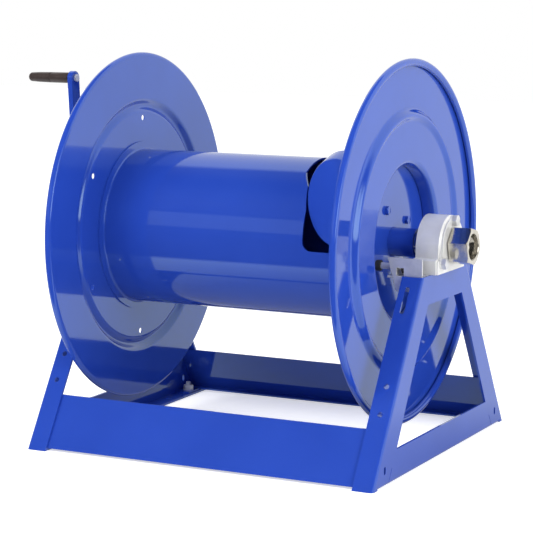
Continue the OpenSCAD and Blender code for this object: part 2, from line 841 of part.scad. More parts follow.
// Section of a rail at the back: a web along the leg and a foot turned inwards
module rail_outline() {
    low = frame_t;
    inner = leg_y(low, frame_t) - rail_foot;
    polygon([[leg_y(low, frame_t), low], [leg_y(rail_top, frame_t), rail_top],
             [leg_y(rail_top, frame_t + rail_t), rail_top],
             [leg_y(low + rail_t, frame_t + rail_t), low + rail_t],
             [inner, low + rail_t], [inner, low]]);
}

module rail(back) {
    tab_w = 30;
    tab_y = stud_y - 20;
    color(PAINT) mirror([0, back ? 0 : 1, 0]) difference() {
        union() {
            translate([-rail_end, 0, 0]) rotate([90, 0, 90])
                linear_extrude(height = 2 * rail_end) rail_outline();
            for (side = [LEFT, RIGHT]) at_end(side)
                translate([rail_end - tab_w, tab_y, frame_t])
                    cube([tab_w, leg_y(frame_t, frame_t) - tab_y - rail_foot / 2, rail_t]);
        }
        for (side = [LEFT, RIGHT])
            translate([side * anchor_x / 2, stud_y, 0])
                cylinder(d = stud_d + 2 * seat, h = through, center = true);
    }
}

module stud_places() {
    for (side = [LEFT, RIGHT]) for (y = [-1, 1])
        translate([side * anchor_x / 2, y * stud_y, 0]) children();
}

tab_top = frame_t + rail_t;

module frame_studs() {
    color(STEEL) stud_places() rod(stud_d / 2, 0, tab_top + washer_t + 1.4 * stud_d);
}

module frame_washers() {
    color(STEEL) stud_places() tube(stud_d, stud_d / 2 + seat, tab_top, tab_top + washer_t);
}

module frame_nuts() {
    color(STEEL) stud_places() difference() {
        hexagon(1.7 * stud_d, tab_top + washer_t, tab_top + washer_t + 0.8 * stud_d);
        rod(stud_d / 2, tab_top, tab_top + washer_t + stud_d);
    }
}

// ---- Bearing brackets --------------------------------------------------

module cheek(y) {
    top = frame_h + cheek_up;
    low = frame_h - cheek_down;
    outer = frame_x - frame_t;
    window_x = lug_x + lug_t + cheek_window / 2 + 1;
    translate([0, y + cheek_t, 0]) rotate([90, 0, 0]) linear_extrude(height = cheek_t) difference() {
        polygon([[bracket_x, top], [outer, top], [outer, low], [bracket_x + cheek_slant, low]]);
        translate([window_x, frame_h + cheek_window / 2]) square(cheek_window, center = true);
    }
}

module bearing_bracket(side) {
    inner_y = bracket_y - cheek_t;
    color(STEEL) at_end(side) difference() {
        union() {
            translate([bracket_x, -bracket_y + eps, frame_h - shelf_t])
                cube([bracket_len, 2 * (bracket_y - eps), shelf_t]);
            cheek(inner_y);
            cheek(-bracket_y);
            if (side == RIGHT) brake_lug(inner_y);
        }
        housing_bolt_places() cylinder(r = m12_r + bolt_gap, h = 4 * shelf_t, center = true);
        if (side == RIGHT)
            along_x(0, brake_axis.x, brake_axis.y) rod(brake_r + run_gap, lug_x - 1, lug_x + lug_t + 1);
    }
}

module brake_lug(inner_y) {
    translate([lug_x, -inner_y, frame_h - eps]) cube([lug_t, 26, cheek_up - 2]);
}

// ---- Brake -------------------------------------------------------------

pin_r = 3;
pin_len = 5;

module brake_pad() {
    color(BLACK) along_x(0, brake_axis.x, brake_axis.y) difference() {
        rod(pad_r, pad_rest_x, pad_rest_x + pad_t);
        rod(pin_r + run_gap, pad_rest_x + pad_t - pin_len - 0.3, pad_rest_x + pad_t + 1);
    }
}

module brake_screw() {
    color(STEEL) along_x(0, brake_axis.x, brake_axis.y) {
        rod(pin_r, pad_rest_x + pad_t - pin_len, pad_rest_x + pad_t + 1);
        rod(brake_r, pad_rest_x + pad_t + 0.3, knob_x + 6);
    }
}

module brake_knob() {
    color(BLACK) along_x(0, brake_axis.x, brake_axis.y) difference() {
        rod(knob_r, knob_x, knob_x + knob_len);
        rod(brake_r, knob_x - 1, knob_x + 6);
        for (i = [0:7]) rotate([0, 0, 45 * i]) translate([knob_r + 1.5, 0, knob_x - 1])
            cylinder(r = 3, h = knob_len + 2);
    }
}

// ---- Nodes -------------------------------------------------------------

end_frame(LEFT);  // left_end_frame
end_frame(RIGHT);  // right_end_frame
rail(false);  // front_rail
rail(true);  // rear_rail
frame_studs();
frame_washers();
frame_nuts();
bearing_bracket(LEFT);  // left_bearing_bracket
bearing_bracket(RIGHT);  // right_bearing_bracket
bearing_housing(LEFT);  // left_bearing_housing
bearing_housing(RIGHT);  // right_bearing_housing
housing_bolts();
bushing(LEFT);  // left_bushing
bushing(RIGHT);  // right_bushing
retainer(LEFT);  // left_retainer
retainer(RIGHT);  // right_retainer
retainer_bolts();
retainer_washers();
drum_shell();
disc(LEFT);  // left_disc
disc(RIGHT);  // right_disc
bulkhead(LEFT);  // left_bulkhead
bulkhead(RIGHT);  // right_bulkhead
hub_flange(LEFT);  // left_hub_flange
hub_flange(RIGHT);  // right_hub_flange
hub_bolts();
hub_nuts();
riser_hood();
inlet_pipe();
swivel_journal();
snap_ring();
riser_elbow();
riser_pipe();
hose_outlet();
stub_shaft();
crank_hub();
crank_set_screw();
crank_arm();
grip_spindle();
grip_washer();
crank_grip();
inlet_swivel();
inlet_seal();
brake_pad();
brake_screw();
brake_knob();
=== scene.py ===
"""Looks of a hand-cranked fire hose reel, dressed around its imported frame.

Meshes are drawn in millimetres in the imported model's frame and scaled once when
they are made: X runs along the drum, -Y is the front, Z is up and the ground is 0.
"""

import logging
import math
from dataclasses import dataclass, field
from enum import Enum
from typing import Iterable, Sequence

import bmesh
import bpy
from mathutils import Euler, Matrix, Vector

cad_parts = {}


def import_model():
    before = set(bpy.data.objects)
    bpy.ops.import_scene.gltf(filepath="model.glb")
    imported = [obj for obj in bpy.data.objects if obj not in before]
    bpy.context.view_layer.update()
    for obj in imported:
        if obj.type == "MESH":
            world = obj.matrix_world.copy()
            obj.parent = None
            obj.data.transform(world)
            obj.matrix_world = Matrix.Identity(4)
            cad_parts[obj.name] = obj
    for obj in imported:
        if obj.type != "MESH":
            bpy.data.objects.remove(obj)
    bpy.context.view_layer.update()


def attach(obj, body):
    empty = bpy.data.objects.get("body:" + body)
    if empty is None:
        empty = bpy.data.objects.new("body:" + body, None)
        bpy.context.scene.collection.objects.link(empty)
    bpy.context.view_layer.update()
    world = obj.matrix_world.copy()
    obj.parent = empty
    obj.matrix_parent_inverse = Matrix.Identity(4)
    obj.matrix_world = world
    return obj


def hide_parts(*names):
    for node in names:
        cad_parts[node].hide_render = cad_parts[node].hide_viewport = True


LOG = logging.getLogger("hose_reel")
MM = 0.001
SHARP = 35.0  # degrees above which an edge stays sharp
AXIS_HEIGHT = 356.0  # of the drum's axis over the ground

Point = tuple[float, float]
Colour = tuple[float, float, float]
Place = tuple[Sequence[float], Euler]
Socket = bpy.types.NodeSocket
Piece = bpy.types.Object


class Side(Enum):
    """End of the reel: the water inlet is on the right, the crank on the left."""

    LEFT = -1
    RIGHT = 1

    @property
    def word(self) -> str:
        """Name of the side as the nodes spell it."""
        return self.name.lower()


class Body(Enum):
    """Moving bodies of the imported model."""

    FRAME = "frame"
    DRUM = "drum"
    GRIP = "crank_grip"
    SWIVEL = "inlet_swivel"
    PAD = "brake_pad"
    SCREW = "brake_screw"


class Slot(Enum):
    """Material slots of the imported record."""

    PAINT = "paint"
    CAST = "cast_aluminium"
    PLATED = "plated"
    STEEL = "steel"
    BRONZE = "bronze"
    GRIP = "grip"
    RUBBER = "rubber"


# ---- Finishes ----


class NodeTree:
    """Adds nodes to one tree and links them."""

    def __init__(self, tree: bpy.types.NodeTree) -> None:
        """Keeps the tree."""
        self.tree = tree

    def feed(self, socket: Socket, value: object) -> None:
        """Links another node's output to an input, or writes a plain value into it.

        Args:
            socket: The input.
            value: The output socket or the plain value.
        """
        if isinstance(value, Socket):
            self.tree.links.new(value, socket)
        else:
            socket.default_value = value

    def node(self, kind: str, inputs: dict[str | int, object] | None = None, **settings: object) -> bpy.types.Node:
        """Adds a node.

        Args:
            kind: Blender's type name of the node.
            inputs: Values or output sockets for its inputs, by name or index.
            settings: Properties of the node itself.

        Returns:
            The new node.
        """
        made = self.tree.nodes.new(kind)
        for key, value in settings.items():
            setattr(made, key, value)
        for key, value in (inputs or {}).items():
            self.feed(made.inputs[key], value)
        return made

    def math(self, operation: str, *values: object) -> Socket:
        """Chains a sum, a product or the like.

        Args:
            operation: Blender's name of the operation.
            values: Two or more plain values or sockets.

        Returns:
            The socket of the result.
        """
        result = values[0]
        for value in values[1:]:
            result = self.node("ShaderNodeMath", {0: result, 1: value}, operation=operation).outputs[0]
        return result

    def spread(self, value: Socket, low: float, high: float, start: float = 0.3, end: float = 0.7,
               curve: str = "LINEAR") -> Socket:
        """Maps a value onto a range.

        Args:
            value: Socket to read.
            low: Result at start.
            high: Result at end.
            start: Value that gives low.
            end: Value that gives high.
            curve: How the result runs between the two.

        Returns:
            The socket of the result.
        """
        return self.node("ShaderNodeMapRange", {"Value": value, "From Min": start, "From Max": end, "To Min": low,
                                                "To Max": high}, interpolation_type=curve).outputs[0]

    def mix(self, factor: Socket, first: Socket, second: Socket) -> Socket:
        """Mixes two shaders; the factor is the second one's share."""
        return self.node("ShaderNodeMixShader", {0: factor, 1: first, 2: second}).outputs[0]


class Shader(NodeTree):
    """Lays out the nodes of one material round its Principled shader."""

    def __init__(self, name: str) -> None:
        """Starts a material.

        Args:
            name: Its name.
        """
        self.material = bpy.data.materials.new(name)
        self.material.use_nodes = True
        super().__init__(self.material.node_tree)
        self.principled = self.tree.nodes["Principled BSDF"]
        self.coordinates = self.node("ShaderNodeTexCoord").outputs["Object"]

    def fix(self, **values: object) -> None:
        """Feeds the shader's own sockets.

        Args:
            values: Values or sockets by input, with _ for a space in its name.
        """
        for key, value in values.items():
            self.feed(self.principled.inputs[key.replace("_", " ")], value)

    def noise(self, scale: float, detail: float, stretch: Colour = (1.0, 1.0, 1.0)) -> Socket:
        """Adds a noise texture on Object coordinates.

        Args:
            scale: Number of features in a metre.
            detail: Number of finer layers.
            stretch: Scale of the coordinates along each axis.

        Returns:
            The socket of its value.
        """
        mapped = self.node("ShaderNodeMapping", {"Vector": self.coordinates, "Scale": stretch})
        made = self.node("ShaderNodeTexNoise", {"Vector": mapped.outputs[0], "Scale": scale, "Detail": detail})
        return made.outputs["Fac"]

    def blend(self, factor: Socket, first: Colour, second: Colour) -> Socket:
        """Mixes two colours.

        Args:
            factor: Socket of the second colour's share.
            first: First colour.
            second: Second colour.

        Returns:
            The socket of the mixed colour.
        """
        made = self.node("ShaderNodeMix", {0: factor}, data_type="RGBA")
        sockets = [socket for socket in made.inputs if socket.type == "RGBA"]
        for socket, colour in zip(sockets, (first, second)):
            self.feed(socket, (*colour, 1.0))
        return next(socket for socket in made.outputs if socket.type == "RGBA")

    def relief(self, layers: Iterable[tuple[Socket, float, float]]) -> None:
        """Chains bumps and feeds them to the shader.

        Args:
            layers: Height socket, distance in metres and strength of each bump.
        """
        last: dict[str, object] = {}
        for height, distance, strength in layers:
            made = self.node("ShaderNodeBump", {"Height": height, "Distance": distance, "Strength": strength, **last})
            last = {"Normal": made.outputs[0]}
        self.fix(**last)


@dataclass(frozen=True)
class Bump:
    """One layer of relief in noise."""

    scale: float
    detail: float
    depth: float
    strength: float
    stretch: Colour = (1.0, 1.0, 1.0)


@dataclass(frozen=True)
class Finish:
    """Two shades in soft patches, an uneven sheen and fine relief, all in noise."""

    name: str
    colour: Colour
    shade: Colour
    smooth: float
    rough: float
    patches: Point = (35.0, 5.0)
    sheen: Point = (120.0, 4.0)
    relief: tuple[Bump, ...] = ()
    metallic: float = 0.0
    index: float = 1.5
    tint: Colour = (1.0, 1.0, 1.0)

    def material(self) -> bpy.types.Material:
        """Builds the material.

        Returns:
            The material.
        """
        shader = Shader(self.name)
        cloud = shader.spread(shader.noise(*self.patches), 0.0, 1.0)
        shader.fix(Base_Color=shader.blend(cloud, self.colour, self.shade), Metallic=self.metallic, IOR=self.index,
                   Roughness=shader.spread(shader.noise(*self.sheen), self.smooth, self.rough),
                   Specular_Tint=(*self.tint, 1.0))
        shader.relief([(shader.noise(b.scale, b.detail, b.stretch), b.depth, b.strength) for b in self.relief])
        return shader.material


@dataclass(frozen=True)
class PowderCoat(Finish):
    """Gloss powder coat: fine orange peel on slightly wavy sheet."""

    name: str = "powder_coat_blue"
    colour: Colour = (0.022, 0.068, 0.460)
    shade: Colour = (0.018, 0.058, 0.412)
    smooth: float = 0.045
    rough: float = 0.085
    patches: Point = (6.0, 3.0)
    sheen: Point = (40.0, 4.0)
    relief: tuple[Bump, ...] = (Bump(9.0, 1.0, 0.0012, 0.25), Bump(240.0, 2.0, 0.00005, 0.10))
    index: float = 1.88
    tint: Colour = (0.70, 0.98, 1.0)


@dataclass(frozen=True)
class CastAluminium(Finish):
    """Machined aluminium casting with a fine satin grain."""

    name: str = "cast_aluminium_satin"
    colour: Colour = (0.88, 0.88, 0.87)
    shade: Colour = (0.74, 0.74, 0.73)
    smooth: float = 0.30
    rough: float = 0.46
    patches: Point = (28.0, 5.0)
    sheen: Point = (70.0, 6.0)
    relief: tuple[Bump, ...] = (Bump(110.0, 4.0, 0.0006, 0.12), Bump(420.0, 3.0, 0.00015, 0.25, (1.0, 1.0, 6.0)))
    metallic: float = 0.30


@dataclass(frozen=True)
class Plate(Finish):
    """Bright plating over turned or pressed metal."""

    patches: Point = (55.0, 4.0)
    sheen: Point = (180.0, 5.0)
    relief: tuple[Bump, ...] = (Bump(600.0, 3.0, 0.00008, 0.15, (1.0, 6.0, 6.0)),)
    metallic: float = 1.0


@dataclass(frozen=True)
class Moulding(Finish):
    """Moulded plastic or rubber with a fine grain."""

    relief: tuple[Bump, ...] = (Bump(1300.0, 2.0, 0.0001, 0.5),)
    index: float = 1.49


@dataclass(frozen=True)
class SinteredBronze:
    """Oil-filled bronze with fine pores."""

    name: str = "sintered_bronze"
    colour: Colour = (0.58, 0.40, 0.20)
    pore: Colour = (0.22, 0.14, 0.07)
    pores: float = 1400.0
    pore_edge: Point = (0.1, 0.35)
    smooth: float = 0.3
    rough: float = 0.5
    sheen: Point = (90.0, 4.0)
    depth: float = 0.0001
    strength: float = 0.4

    def material(self) -> bpy.types.Material:
        """Builds the material.

        Returns:
            The material.
        """
        shader = Shader(self.name)
        cells = shader.node("ShaderNodeTexVoronoi", {"Vector": shader.coordinates, "Scale": self.pores})
        distance = cells.outputs["Distance"]
        dark = shader.spread(distance, 1.0, 0.0, *self.pore_edge)
        shader.fix(Base_Color=shader.blend(dark, self.colour, self.pore), Metallic=1.0,
                   Roughness=shader.spread(shader.noise(*self.sheen), self.smooth, self.rough))
        shader.relief([(distance, self.depth, self.strength)])
        return shader.material


FINISHES: dict[Slot, Finish | SinteredBronze] = {
    Slot.PAINT: PowderCoat(),
    Slot.CAST: CastAluminium(),
    Slot.PLATED: Plate("nickel_plate", (0.74, 0.71, 0.64), (0.62, 0.58, 0.50), 0.08, 0.18),
    Slot.STEEL: Plate("zinc_plate", (0.76, 0.77, 0.79), (0.64, 0.65, 0.68), 0.28, 0.45, metallic=0.5),
    Slot.BRONZE: SinteredBronze(),
    Slot.GRIP: Moulding("grip_plastic", (0.040, 0.028, 0.026), (0.060, 0.044, 0.040), 0.30, 0.45),
    Slot.RUBBER: Moulding("black_rubber", (0.022, 0.022, 0.023), (0.04, 0.04, 0.04), 0.65, 0.85,
                          relief=(Bump(900.0, 2.0, 0.00018, 0.5),)),
}


# ---- Mesh making ----


def arc(centre: Point, radius: float, start: float, end: float, steps: int = 8) -> list[Point]:
    """Points on an arc.

    Args:
        centre: Centre of the arc.
        radius: Its radius.
        start: First angle in degrees.
        end: Last angle in degrees.
        steps: Number of chords.

    Returns:
        The points, both ends included.
    """
    angles = [math.radians(start + (end - start) * i / steps) for i in range(steps + 1)]
    return [(centre[0] + radius * math.cos(a), centre[1] + radius * math.sin(a)) for a in angles]


def rounded(corners: Sequence[tuple[float, float, float]], steps: int = 3) -> list[Point]:
    """Closed outline with rounded corners.

    Args:
        corners: x, y and corner radius of each corner.
        steps: Chords in a rounded corner.

    Returns:
        The outline's points.
    """
    outline: list[Point] = []
    for i, (x, y, radius) in enumerate(corners):
        here = Vector((x, y))
        before = Vector(corners[i - 1][:2]) - here
        after = Vector(corners[(i + 1) % len(corners)][:2]) - here
        if radius <= 0 or before.length < 1e-9 or after.length < 1e-9:
            outline.append((x, y))
            continue
        before.normalize()
        after.normalize()
        half = before.angle(after) / 2
        reach = radius / math.tan(half)
        centre = here + (before + after).normalized() * (radius / math.sin(half))
        first, last = here + before * reach - centre, here + after * reach - centre
        for k in range(steps + 1):
            spoke = first.lerp(last, k / steps).normalized() * radius
            outline.append(tuple(centre + spoke))
    return outline


def linked(name: str, data: bpy.types.ID) -> Piece:
    """Puts a mesh, lamp or camera into the scene.

    Args:
        name: Name of the object.
        data: The mesh, lamp or camera.

    Returns:
        The object that holds it.
    """
    made = bpy.data.objects.new(name, data)
    bpy.context.scene.collection.objects.link(made)
    return made


def new_object(name: str, vertices: Iterable[Sequence[float]], faces: Iterable[Sequence[int]],
               sharp: float = SHARP) -> Piece:
    """Makes a smooth-shaded mesh object from points in millimetres.

    Args:
        name: Name of the object.
        vertices: The points.
        faces: Indices of each face's points.
        sharp: Angle in degrees above which an edge stays sharp.

    Returns:
        The object, with its place in its mesh.
    """
    mesh = bpy.data.meshes.new(name)
    mesh.from_pydata([tuple(c * MM for c in v) for v in vertices], [], [tuple(f) for f in faces])
    bm = bmesh.new()
    bm.from_mesh(mesh)
    bmesh.ops.remove_doubles(bm, verts=bm.verts, dist=1e-6)
    bmesh.ops.recalc_face_normals(bm, faces=bm.faces)
    bm.to_mesh(mesh)
    bm.free()
    shade(mesh, sharp)
    return linked(name, mesh)


def shade(mesh: bpy.types.Mesh, sharp: float) -> None:
    """Shades a mesh smooth, but not over edges sharper than an angle in degrees."""
    mesh.shade_smooth()
    mesh.set_sharp_from_angle(angle=math.radians(sharp))


@dataclass(frozen=True)
class Lathe:
    """Turns a closed outline about a line."""

    centre: tuple[float, float, float] = (0.0, 0.0, AXIS_HEIGHT)
    along: tuple[float, float, float] = (1.0, 0.0, 0.0)
    upright: tuple[float, float, float] = (0.0, 0.0, 1.0)

    def turn(self, name: str, outline: Sequence[Point], segments: int = 96) -> Piece:
        """Turns a closed outline into an object.

        Args:
            name: Name of the object.
            outline: Points of (radius, distance along the line).
            segments: Number of steps of the full turn.

        Returns:
            The object.
        """
        along = Vector(self.along).normalized()
        up = Vector(self.upright)
        across = along.cross(up)
        vertices: list[Vector] = []
        faces: list[tuple[int, ...]] = []
        count = len(outline)
        for i in range(segments):
            angle = 2 * math.pi * i / segments
            spoke = up * math.cos(angle) + across * math.sin(angle)
            vertices += [Vector(self.centre) + along * d + spoke * r for r, d in outline]
            a, b = i * count, (i + 1) % segments * count
            faces += [(a + k, a + (k + 1) % count, b + (k + 1) % count, b + k) for k in range(count)]
        return new_object(name, vertices, faces)


AXIS = Lathe()
UPRIGHT = Lathe((0.0, 0.0, 0.0), (0.0, 0.0, 1.0), (1.0, 0.0, 0.0))


def settle(piece: Piece) -> Piece:
    """Replaces a piece's mesh by the result of its modifiers, and removes them.

    Args:
        piece: The piece.

    Returns:
        The piece.
    """
    graph = bpy.context.evaluated_depsgraph_get()
    mesh = bpy.data.meshes.new_from_object(piece.evaluated_get(graph), preserve_all_data_layers=True, depsgraph=graph)
    piece.modifiers.clear()
    piece.data = mesh
    return piece


def cut(piece: Piece, tool: Piece) -> Piece:
    """Takes a tool away from a piece.

    Args:
        piece: Object to cut.
        tool: Object that is taken away and then removed.

    Returns:
        The piece.
    """
    modifier = piece.modifiers.new("cut", "BOOLEAN")
    modifier.operation, modifier.solver, modifier.object = "DIFFERENCE", "EXACT", tool
    settle(piece)
    bpy.data.objects.remove(tool)
    shade(piece.data, SHARP)
    return piece


def ease_edges(piece: Piece, width: float, steps: int = 2, angle: float = 38.0) -> Piece:
    """Rounds a piece's sharp edges and weighs its normals by face.

    Args:
        piece: Object to round.
        width: Width of the rounding in millimetres.
        steps: Number of segments over an edge.
        angle: Smallest angle in degrees that is rounded.

    Returns:
        The piece.
    """
    bevel = piece.modifiers.new("ease", "BEVEL")
    bevel.width, bevel.segments, bevel.limit_method = width * MM, steps, "ANGLE"
    bevel.angle_limit, bevel.harden_normals, bevel.use_clamp_overlap = math.radians(angle), True, True
    shade(piece.data, 180.0)
    weights = piece.modifiers.new("weights", "WEIGHTED_NORMAL")
    weights.keep_sharp, weights.weight = True, 80
    return settle(piece)


def packed_copy(name: str, node: str, width: float, steps: int = 2) -> Piece:
    """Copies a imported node's shape, merges its triangles and rounds its edges.

    Args:
        name: Name of the new piece.
        node: Node to copy.
        width: Width of the rounding in millimetres, or 0 for none.
        steps: Number of segments over an edge.

    Returns:
        The piece, not yet dressed.
    """
    source = bpy.data.objects[node].data
    mesh = bpy.data.meshes.new(name)
    mesh.from_pydata([v.co.copy() for v in source.vertices], [], [tuple(p.vertices) for p in source.polygons])
    bm = bmesh.new()
    bm.from_mesh(mesh)
    bmesh.ops.remove_doubles(bm, verts=bm.verts, dist=4e-6)
    bmesh.ops.dissolve_degenerate(bm, edges=bm.edges, dist=1e-6)
    bmesh.ops.dissolve_limit(bm, angle_limit=math.radians(0.4), verts=bm.verts, edges=bm.edges)
    bm.to_mesh(mesh)
    bm.free()
    piece = linked(name, mesh)
    if width > 0:
        return ease_edges(piece, width, steps)
    shade(mesh, SHARP)
    return piece


class Dresser:
    """Gives finished pieces the material of their slot and their body, and hides the nodes they stand for."""

    def __init__(self) -> None:
        """Makes the finishes and the trees that place fasteners and wind threads."""
        self.materials = {slot: finish.material() for slot, finish in FINISHES.items()}
        self.pattern = FastenerPattern()
        self.cutter = ThreadCutter()
        self.count = 0

    def dress(self, piece: Piece, body: Body, slot: Slot, *nodes: str) -> Piece:
        """Finishes a piece.

        Args:
            piece: The piece, in place.
            body: Body it rides on.
            slot: Slot it takes its finish from.
            nodes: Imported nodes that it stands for.

        Returns:
            The piece.
        """
        piece.data.materials.clear()
        piece.data.materials.append(self.materials[slot])
        for polygon in piece.data.polygons:
            polygon.material_index = 0
        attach(piece, body.value)
        if nodes:
            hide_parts(*nodes)
        self.count += 1
        LOG.info("%s: %d faces on %s, %s", piece.name, len(piece.data.polygons), body.value, slot.value)
        return piece

    def copy(self, node: str, body: Body, slot: Slot, edge: float, steps: int = 2) -> Piece:
        """Stands a copy with rounded edges for a node.

        Args:
            node: Node to copy.
            body: Body it rides on.
            slot: Slot it takes its finish from.
            edge: Width of the rounding in millimetres.
            steps: Number of segments over an edge.

        Returns:
            The piece.
        """
        return self.dress(packed_copy(node + "_piece", node, edge, steps), body, slot, node)

    def fasten(self, node: str, shape: Piece, places: Sequence[Place], body: Body, slot: Slot) -> None:
        """Stands one fastener at many places for a node.

        Args:
            node: Node they stand for.
            shape: The fastener, drawn about the origin along Z.
            places: Point in millimetres and turn of each fastener.
            body: Body they ride on.
            slot: Slot they take their finish from.
        """
        self.dress(self.pattern.place(node + "_piece", shape, places, self.materials[slot]), body, slot, node)


# ---- Geometry Nodes ----


class GeometryTree(NodeTree):
    """A Geometry Nodes tree with named inputs, ended by Realize Instances and Set Material."""

    KINDS = {"float": "NodeSocketFloat", "int": "NodeSocketInt", "object": "NodeSocketObject",
             "material": "NodeSocketMaterial", "vector": "NodeSocketVector", "geometry": "NodeSocketGeometry"}

    def __init__(self, name: str, **inputs: str) -> None:
        """Starts a tree.

        Args:
            name: Name of the tree.
            inputs: Kind of each input, by its name with _ for a space.
        """
        super().__init__(bpy.data.node_groups.new(name, "GeometryNodeTree"))
        self.keys: dict[str, str] = {}
        self.tree.interface.new_socket("Geometry", in_out="INPUT", socket_type=self.KINDS["geometry"])
        for key, kind in {**inputs, "finish": "material"}.items():
            made = self.tree.interface.new_socket(key.replace("_", " "), in_out="INPUT", socket_type=self.KINDS[kind])
            self.keys[key] = made.identifier
        self.tree.interface.new_socket("Geometry", in_out="OUTPUT", socket_type=self.KINDS["geometry"])
        self.entry = self.tree.nodes.new("NodeGroupInput")

    def value(self, key: str) -> Socket:
        """Socket of a named input inside the tree."""
        return self.entry.outputs[key.replace("_", " ")]

    def close(self, geometry: Socket) -> None:
        """Ends the tree with Realize Instances and Set Material.

        Args:
            geometry: Socket of the finished geometry.
        """
        real = self.node("GeometryNodeRealizeInstances", {0: geometry})
        dressed = self.node("GeometryNodeSetMaterial", {"Geometry": real.outputs[0],
                                                        "Material": self.value("finish")})
        leave = self.tree.nodes.new("NodeGroupOutput")
        self.tree.links.new(dressed.outputs[0], leave.inputs[0])

    def apply(self, piece: Piece, sharp: float = SHARP, **values: object) -> Piece:
        """Runs the tree on an object and keeps the result as its mesh.

        Args:
            piece: Object that gets the mesh.
            sharp: Angle above which an edge stays sharp.
            values: Values of the named inputs.

        Returns:
            The object.
        """
        modifier = piece.modifiers.new(self.tree.name, "NODES")
        modifier.node_group = self.tree
        for key, value in values.items():
            modifier[self.keys[key]] = value
        settle(piece)
        shade(piece.data, sharp)
        return piece


class FastenerPattern:
    """Puts one fastener at each point of a list, turned as its point says."""

    def __init__(self) -> None:
        """Builds the tree."""
        self.tree = GeometryTree("fasteners_at_points", fastener="object")
        turn = self.tree.node("GeometryNodeInputNamedAttribute", {"Name": "turn"}, data_type="FLOAT_VECTOR")
        shape = self.tree.node("GeometryNodeObjectInfo", {"Object": self.tree.value("fastener")})
        placed = self.tree.node("GeometryNodeInstanceOnPoints", {
            "Points": self.tree.entry.outputs["Geometry"],
            "Instance": next(s for s in shape.outputs if s.name == "Geometry"), "Rotation": turn.outputs[0]})
        self.tree.close(placed.outputs[0])

    def place(self, name: str, shape: Piece, places: Sequence[Place],
              finish: bpy.types.Material) -> Piece:
        """Makes one mesh of a fastener at many places.

        Args:
            name: Name of the piece.
            shape: The fastener, drawn about the origin along Z; it is removed.
            places: Point in millimetres and turn of each fastener.
            finish: Its material.

        Returns:
            The piece.
        """
        mesh = bpy.data.meshes.new(name)
        mesh.from_pydata([tuple(c * MM for c in point) for point, _ in places], [], [])
        turns = mesh.attributes.new("turn", "FLOAT_VECTOR", "POINT")
        turns.data.foreach_set("vector", [angle for _, euler in places for angle in euler])
        piece = linked(name, mesh)
        self.tree.apply(piece, fastener=shape, finish=finish)
        bpy.data.objects.remove(shape)
        return piece


class ThreadCutter:
    """Winds a ridge along a helix, as the thread of a bore."""

    RIDGE = 0.42  # radius of the ridge, as a share of the pitch

    def __init__(self) -> None:
        """Builds the tree."""
        names = {"radius": "float", "pitch": "float", "turns": "float", "ridge": "float", "centre": "vector",
                 "lean": "vector"}
        tree = self.tree = GeometryTree("helical_thread", **names)
        height = tree.math("MULTIPLY", tree.value("turns"), tree.value("pitch"))
        spiral = tree.node("GeometryNodeCurveSpiral", {
            "Resolution": 48, "Rotations": tree.value("turns"), "Start Radius": tree.value("radius"),
            "End Radius": tree.value("radius"), "Height": height})
        section = tree.node("GeometryNodeCurvePrimitiveCircle", {"Resolution": 4, "Radius": tree.value("ridge")})
        ridge = tree.node("GeometryNodeCurveToMesh", {"Curve": spiral.outputs[0], "Profile Curve": section.outputs[0],
                                                      "Fill Caps": True})
        laid = tree.node("GeometryNodeTransform", {"Geometry": ridge.outputs[0], "Translation": tree.value("centre"),
                                                   "Rotation": tree.value("lean")})
        tree.close(laid.outputs[0])

    def wind(self, name: str, radius: float, pitch: float, length: float, start: Sequence[float], lean: Euler,
             finish: bpy.types.Material) -> Piece:
        """Makes one thread.

        Args:
            name: Name of the piece.
            radius: Radius of the ridge's middle in millimetres.
            pitch: Distance between turns in millimetres.
            length: Length of the thread in millimetres.
            start: First point on its axis in millimetres.
            lean: Turn that lays local Z along its axis.
            finish: Its material.

        Returns:
            The piece.
        """
        piece = linked(name, bpy.data.meshes.new(name))
        return self.tree.apply(piece, radius=radius * MM, pitch=pitch * MM, turns=length / pitch,
                               ridge=self.RIDGE * pitch * MM, centre=[c * MM for c in start], lean=list(lean),
                               finish=finish)


CROWN = 0.94  # flat round face of a hexagon, as a share of its flats
CHAMFER = 30  # slope of its chamfer in degrees
POINT = 0.001  # radius that closes the middle of a head
GROOVE = 0.45  # depth of a thread's groove, as a share of the pitch
TIP = 0.6  # chamfer of a thread's end, as a share of the pitch


def hexagon_ring(flats: float, steps: int = 6) -> list[tuple[float, float, float]]:
    """Walks round a hexagon.

    Args:
        flats: Distance across the flats.
        steps: Number of points to a side.

    Returns:
        Each point's x and y, and its distance from the middle.
    """
    corners = arc((0.0, 0.0), flats / math.sqrt(3), 0.0, 360.0, 6)
    ring = []
    for (x0, y0), (x1, y1) in zip(corners, corners[1:]):
        for k in range(steps):
            x, y = x0 + (x1 - x0) * k / steps, y0 + (y1 - y0) * k / steps
            ring.append((x, y, math.hypot(x, y)))
    return ring


